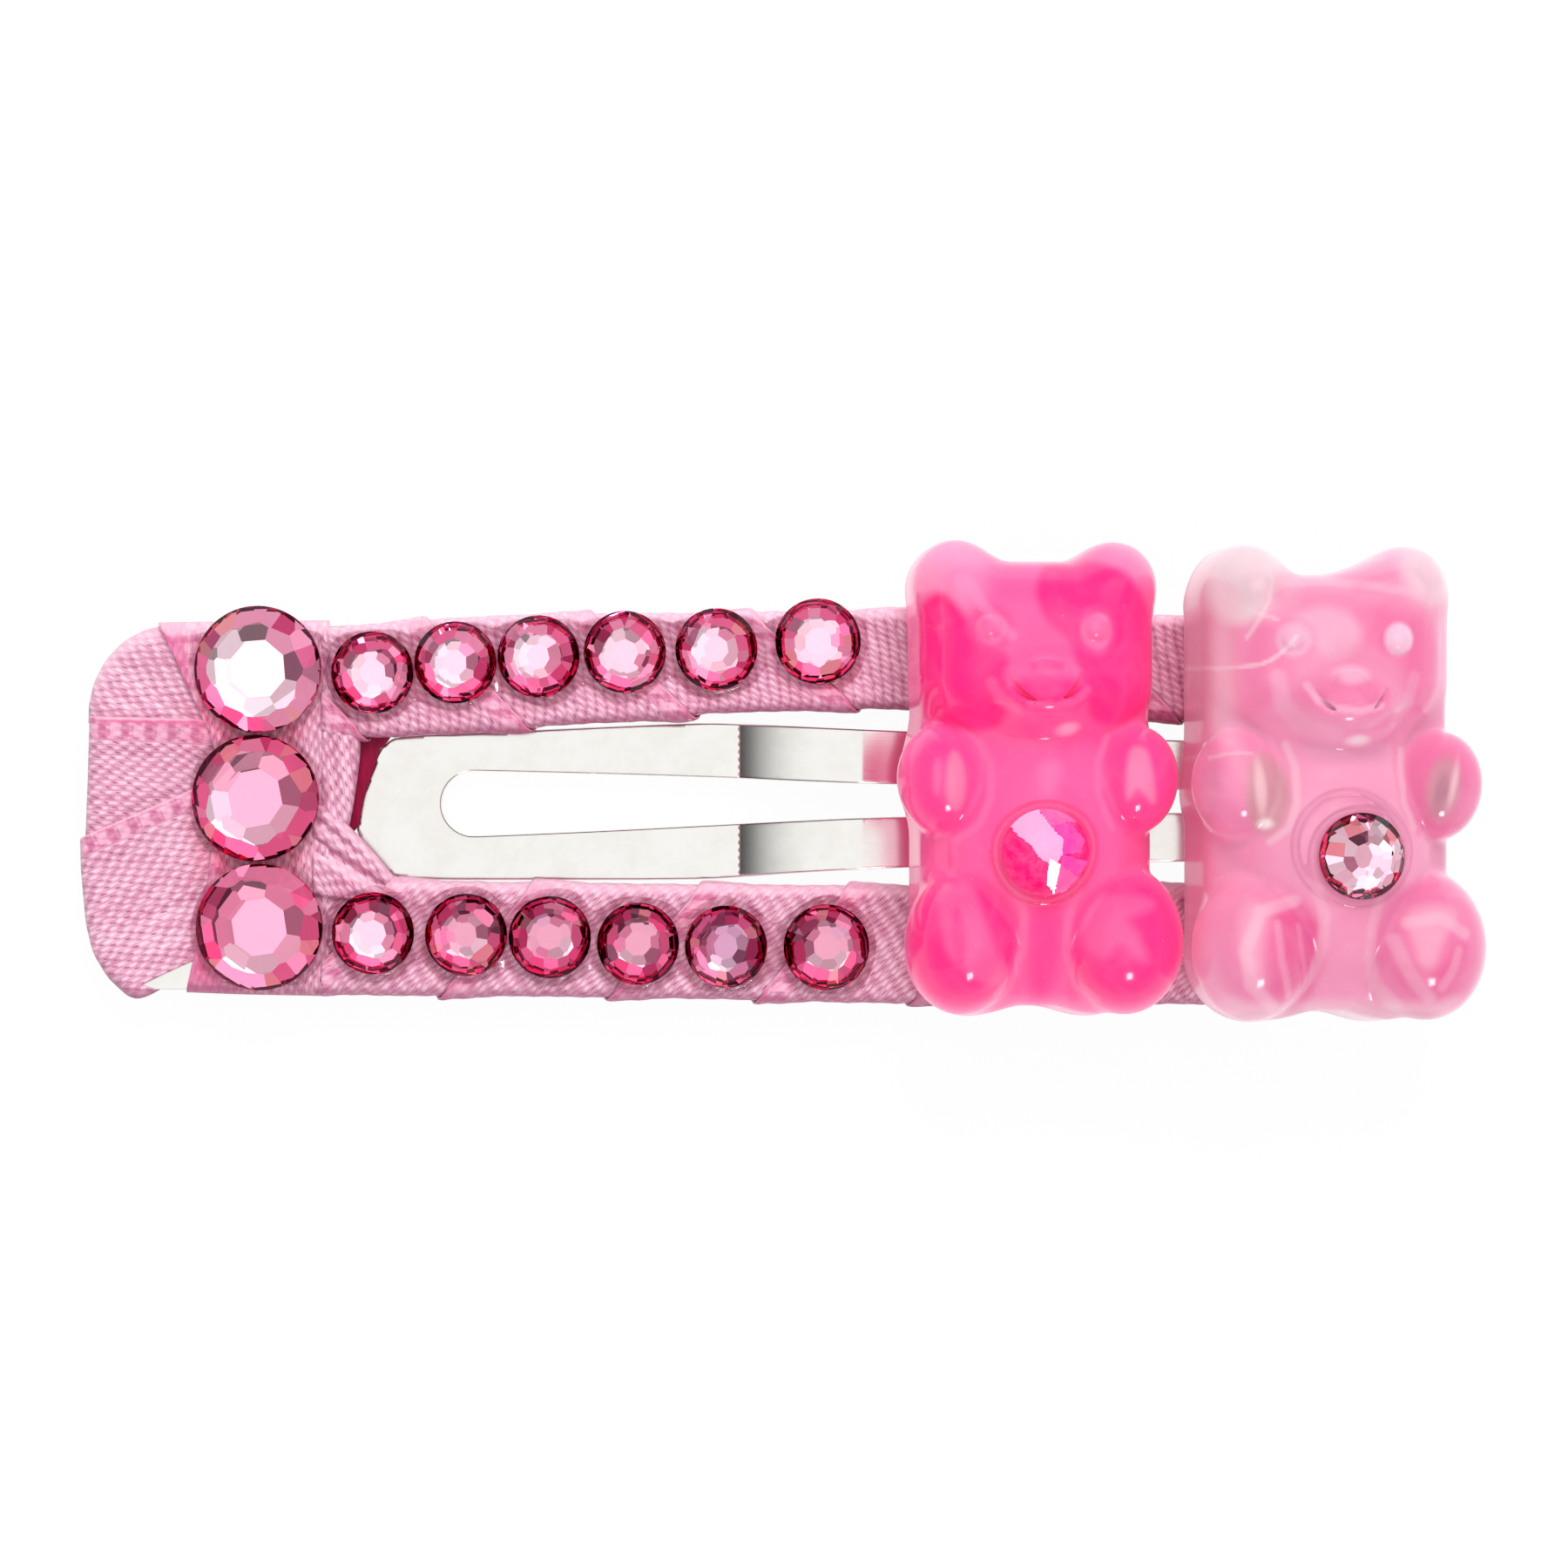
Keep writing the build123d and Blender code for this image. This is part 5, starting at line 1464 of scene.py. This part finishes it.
H_BEAR = 0.10
for side, v, (bx, by), roll, seat_at, layers, base, mat, tw in (
    ("left", 0, (8.90, 0.10), 4.0, (-0.05, -2.57), LEFT_LAYERS, MIDP, M_BEAR_L, 10),
    ("right", 1, (19.30, -0.10), 8.0, (0.38, -2.50), RIGHT_LAYERS, R_BASE, M_BEAR_R, 23),
):
    lo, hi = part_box(f"bear_{side}")
    # centre of the flat back, from the CAD box
    by = (lo.y + hi.y) / 2 / MM - OY - 0.085
    V, F = surface_nets(lambda P: bear_field(P, v, seat_at), (-5.7, -9.1, -0.25), (5.7, 9.2, 7.6), H_BEAR, 2)
    col, clear = paint(V, layers, base, (0.99, 0.78, 0.86) if side == "left" else (0.84, 0.90, 0.85))
    lift = 2.00 + 4.95 * math.sin(math.radians(roll))
    W = V @ rot("y", roll).T + np.array([bx, by, lift])
    ob = add_mesh(f"bear_{side}_cast", W, F, mat, nodes=(f"bear_{side}",),
                  colors={"tint": col}, floats={"clear": clear, "dull": soft_ell(V[:, :2], (0.1, -5.9), (0.95, 2.3), 0, 0.35)},
                  clean=False)
    # belly stone
    D = 3.10
    if side == "left":
        SV, SF, tone = neon_stone(D)
        mats = NEON + [M_FOIL]
    else:
        SV, SF, tone = cut_stone(D, 11, "WTKWMTWL", "T", "WTWOLWOTLW")
        mats = gem_mats()
        SV = SV @ rot("z", tw).T
    SV = SV + np.array([seat_at[0], seat_at[1], 6.30 + 0.13])
    SV = SV @ rot("y", roll).T + np.array([bx, by, lift])
    add_mesh(f"bear_{side}_belly_stone_cut", SV, SF, mats, nodes=(f"bear_{side}_belly_stone",),
             shade=False, mat_index=tone, clean=False)
    # collar of adhesive round it
    cen = (seat_at[0] - (0.35 if side == "right" else 0.0), seat_at[1] + (0.35 if side == "right" else 0.0))

    def collar(P, cen=cen, seat_at=seat_at, side=side):
        x, y, z = P[..., 0], P[..., 1], P[..., 2]
        r = np.hypot(x - seat_at[0], y - seat_at[1])
        th = np.arctan2(y - seat_at[1], x - seat_at[0])
        Rm = 1.74 + 0.05 * np.sin(2 * th + 0.6) + 0.03 * np.sin(3 * th)
        tor = np.hypot(r - Rm, (z - 6.42) * 1.1) - (0.22 if side == "left" else 0.26)
        if side == "right":
            r2 = np.hypot(x - cen[0] + 0.05, y - cen[1])
            tor2 = np.hypot(r2 - 1.95, (z - 6.28) * 1.1) - 0.20
            tor = smin(tor + 0.08, tor2, 0.25)
        disc = np.maximum(r - Rm, np.abs(z - 6.36) - 0.06)
        return smin(tor, disc, 0.08)

    CV, CF = surface_nets(collar, (seat_at[0] - 2.8, seat_at[1] - 2.6, 5.9), (seat_at[0] + 2.4, seat_at[1] + 2.8, 6.9), 0.075, 1)
    CV = CV @ rot("y", roll).T + np.array([bx, by, lift])
    add_mesh(f"bear_{side}_belly_adhesive", CV, CF,
             glue_material(f"belly_adhesive_{side}", (0.99, 0.86, 0.93) if side == "left" else (0.98, 0.93, 0.955), 0.0),
             nodes=(f"bear_{side}_belly_glue",), clean=False)
    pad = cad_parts[f"bear_{side}_glue"]
    pad.data.materials.clear()
    pad.data.materials.append(M_PAD)

# ============================================================== stage
floor_me = bpy.data.meshes.new("floor")
floor_me.from_pydata([(-1.5, -1.5, -0.0002), (1.5, -1.5, -0.0002), (1.5, 1.5, -0.0002), (-1.5, 1.5, -0.0002)],
                     [], [(0, 1, 2, 3)])
floor = bpy.data.objects.new("floor", floor_me)
bpy.context.scene.collection.objects.link(floor)
g = Nodes("pale_floor")
em = g.node("ShaderNodeEmission", {"Color": (1, 1, 1, 1), "Strength": 1.0})
df = g.node("ShaderNodeBsdfDiffuse", {"Color": (0.9, 0.9, 0.9, 1)})
add = g.node("ShaderNodeMixShader")
lp = g.node("ShaderNodeLightPath")
g.put(add.inputs[0], g.m("SUBTRACT", 0.955, g.m("MULTIPLY", g.m("SUBTRACT", 1.0, lp.outputs["Is Camera Ray"]), 0.50)))
g.put(add.inputs[1], df.outputs[0])
g.put(add.inputs[2], em.outputs[0])
back = g.node("ShaderNodeNewGeometry")
clr = g.node("ShaderNodeBsdfTransparent")
see = g.node("ShaderNodeMixShader")
g.put(see.inputs[0], back.outputs["Backfacing"])          # a camera under the table sees the clip's back
g.put(see.inputs[1], add.outputs[0])
g.put(see.inputs[2], clr.outputs[0])
floor_me.materials.append(g.done(see.outputs[0]))

# ============================================================== world
world = bpy.data.worlds.new("studio")
bpy.context.scene.world = world
world.use_nodes = True
wt = world.node_tree
wt.nodes.clear()


class WNodes(Nodes):
    def __init__(self):
        self.t = wt


w = WNodes()
tc = w.node("ShaderNodeTexCoord")
nv = w.node("ShaderNodeVectorMath", operation="NORMALIZE")
w.put(nv.inputs[0], tc.outputs["Generated"])
D3 = nv.outputs[0]
sepd = w.node("ShaderNodeSeparateXYZ")
w.put(sepd.inputs[0], D3)
dz = sepd.outputs[2]


def dirv(az, pol):
    """azimuth from +X towards +Y, polar angle from the zenith"""
    a, p = math.radians(az), math.radians(pol)
    return (math.sin(p) * math.cos(a), math.sin(p) * math.sin(a), math.cos(p))


def lobe(az, pol, r_in, r_out, strength):
    n = w.node("ShaderNodeVectorMath", operation="DOT_PRODUCT")
    w.put(n.inputs[0], D3)
    n.inputs[1].default_value = dirv(az, pol)
    s = w.ss(n.outputs["Value"], math.cos(math.radians(r_out)), math.cos(math.radians(r_in)), 0.0, strength)
    return s


# what the stones gather: a broad bright ceiling broken by cards and dark gaps
cut = w.ss(dz, -0.05, 0.60, 0.35, 0.80)
for az, pol, a, b, s in (
    (0, 0, 12, 17, 0.75),         # ceiling round the camera
    (75, 42, 16, 22, 0.85),       # main soft box, far side
    (30, 26, 8, 11, 0.8),
    (140, 30, 8, 11, 0.6),
    (215, 26, 9, 12, 0.7),
    (-35, 30, 8, 11, -0.45),
    (-95, 24, 7, 10, -0.5),
    (180, 45, 7, 10, -0.35),
    (-75, 52, 8, 11, 1.2),
    (190, 64, 8, 12, 0.8),
    (0, 62, 8, 12, 0.8),
    (110, 66, 6, 10, 0.9),
):
    cut = w.m("ADD", cut, lobe(az, pol, a, b, s))
cut = w.m("MAXIMUM", cut, 0.10)
# what polished surfaces mirror: an even white tent, darker towards the table
tent = w.m("ADD", w.ss(dz, 0.64, 0.94, 0.05, 0.97), w.ss(dz, 0.35, 0.10, 0.0, 0.45))
lpw = w.node("ShaderNodeLightPath")
trans = lpw.outputs["Is Transmission Ray"]
refl = w.m("ADD", w.m("MULTIPLY", trans, cut), w.m("MULTIPLY", w.m("SUBTRACT", 1.0, trans), tent))
isdiff = w.m("MAXIMUM", lpw.outputs["Is Diffuse Ray"], lpw.outputs["Is Camera Ray"])
soft = w.ss(dz, -0.1, 0.9, 0.55, 0.85)
val = w.m("ADD", w.m("MULTIPLY", isdiff, soft), w.m("MULTIPLY", w.m("SUBTRACT", 1.0, isdiff), refl))
bg = w.node("ShaderNodeBackground", {"Color": (1, 1, 1, 1), "Strength": val})
wo = wt.nodes.new("ShaderNodeOutputWorld")
wt.links.new(bg.outputs[0], wo.inputs["Surface"])


def area(name, az, pol, dist, size, power, color=(1, 1, 1), mirrored=True):
    d = bpy.data.lights.new(name, "AREA")
    d.energy = power
    d.size = size
    d.color = color
    o = bpy.data.objects.new(name, d)
    v = Vector(dirv(az, pol)) * dist
    o.location = v
    o.rotation_euler = (-v).to_track_quat("-Z", "Y").to_euler()
    bpy.context.scene.collection.objects.link(o)
    o.visible_glossy = mirrored
    o.visible_transmission = mirrored
    return o


area("key", 80, 44, 0.40, 0.22, 1.15, mirrored=False)
area("fill", 235, 58, 0.45, 0.20, 0.10, mirrored=False)
area("near_sparkle", -77, 56, 0.40, 0.075, 0.42)

# ============================================================== camera
cam = bpy.data.cameras.new("camera")
cam.lens = 153.1
cam.sensor_width = 36.0
cam.sensor_fit = "HORIZONTAL"
cam.clip_start = 0.01
cam_ob = bpy.data.objects.new("camera", cam)
cam_ob.location = (OX * MM, (OY - 0.048) * MM, 0.2469)
bpy.context.scene.collection.objects.link(cam_ob)
bpy.context.scene.camera = cam_ob
bpy.context.scene.view_settings.view_transform = "Standard"
bpy.context.scene.view_settings.look = "None"
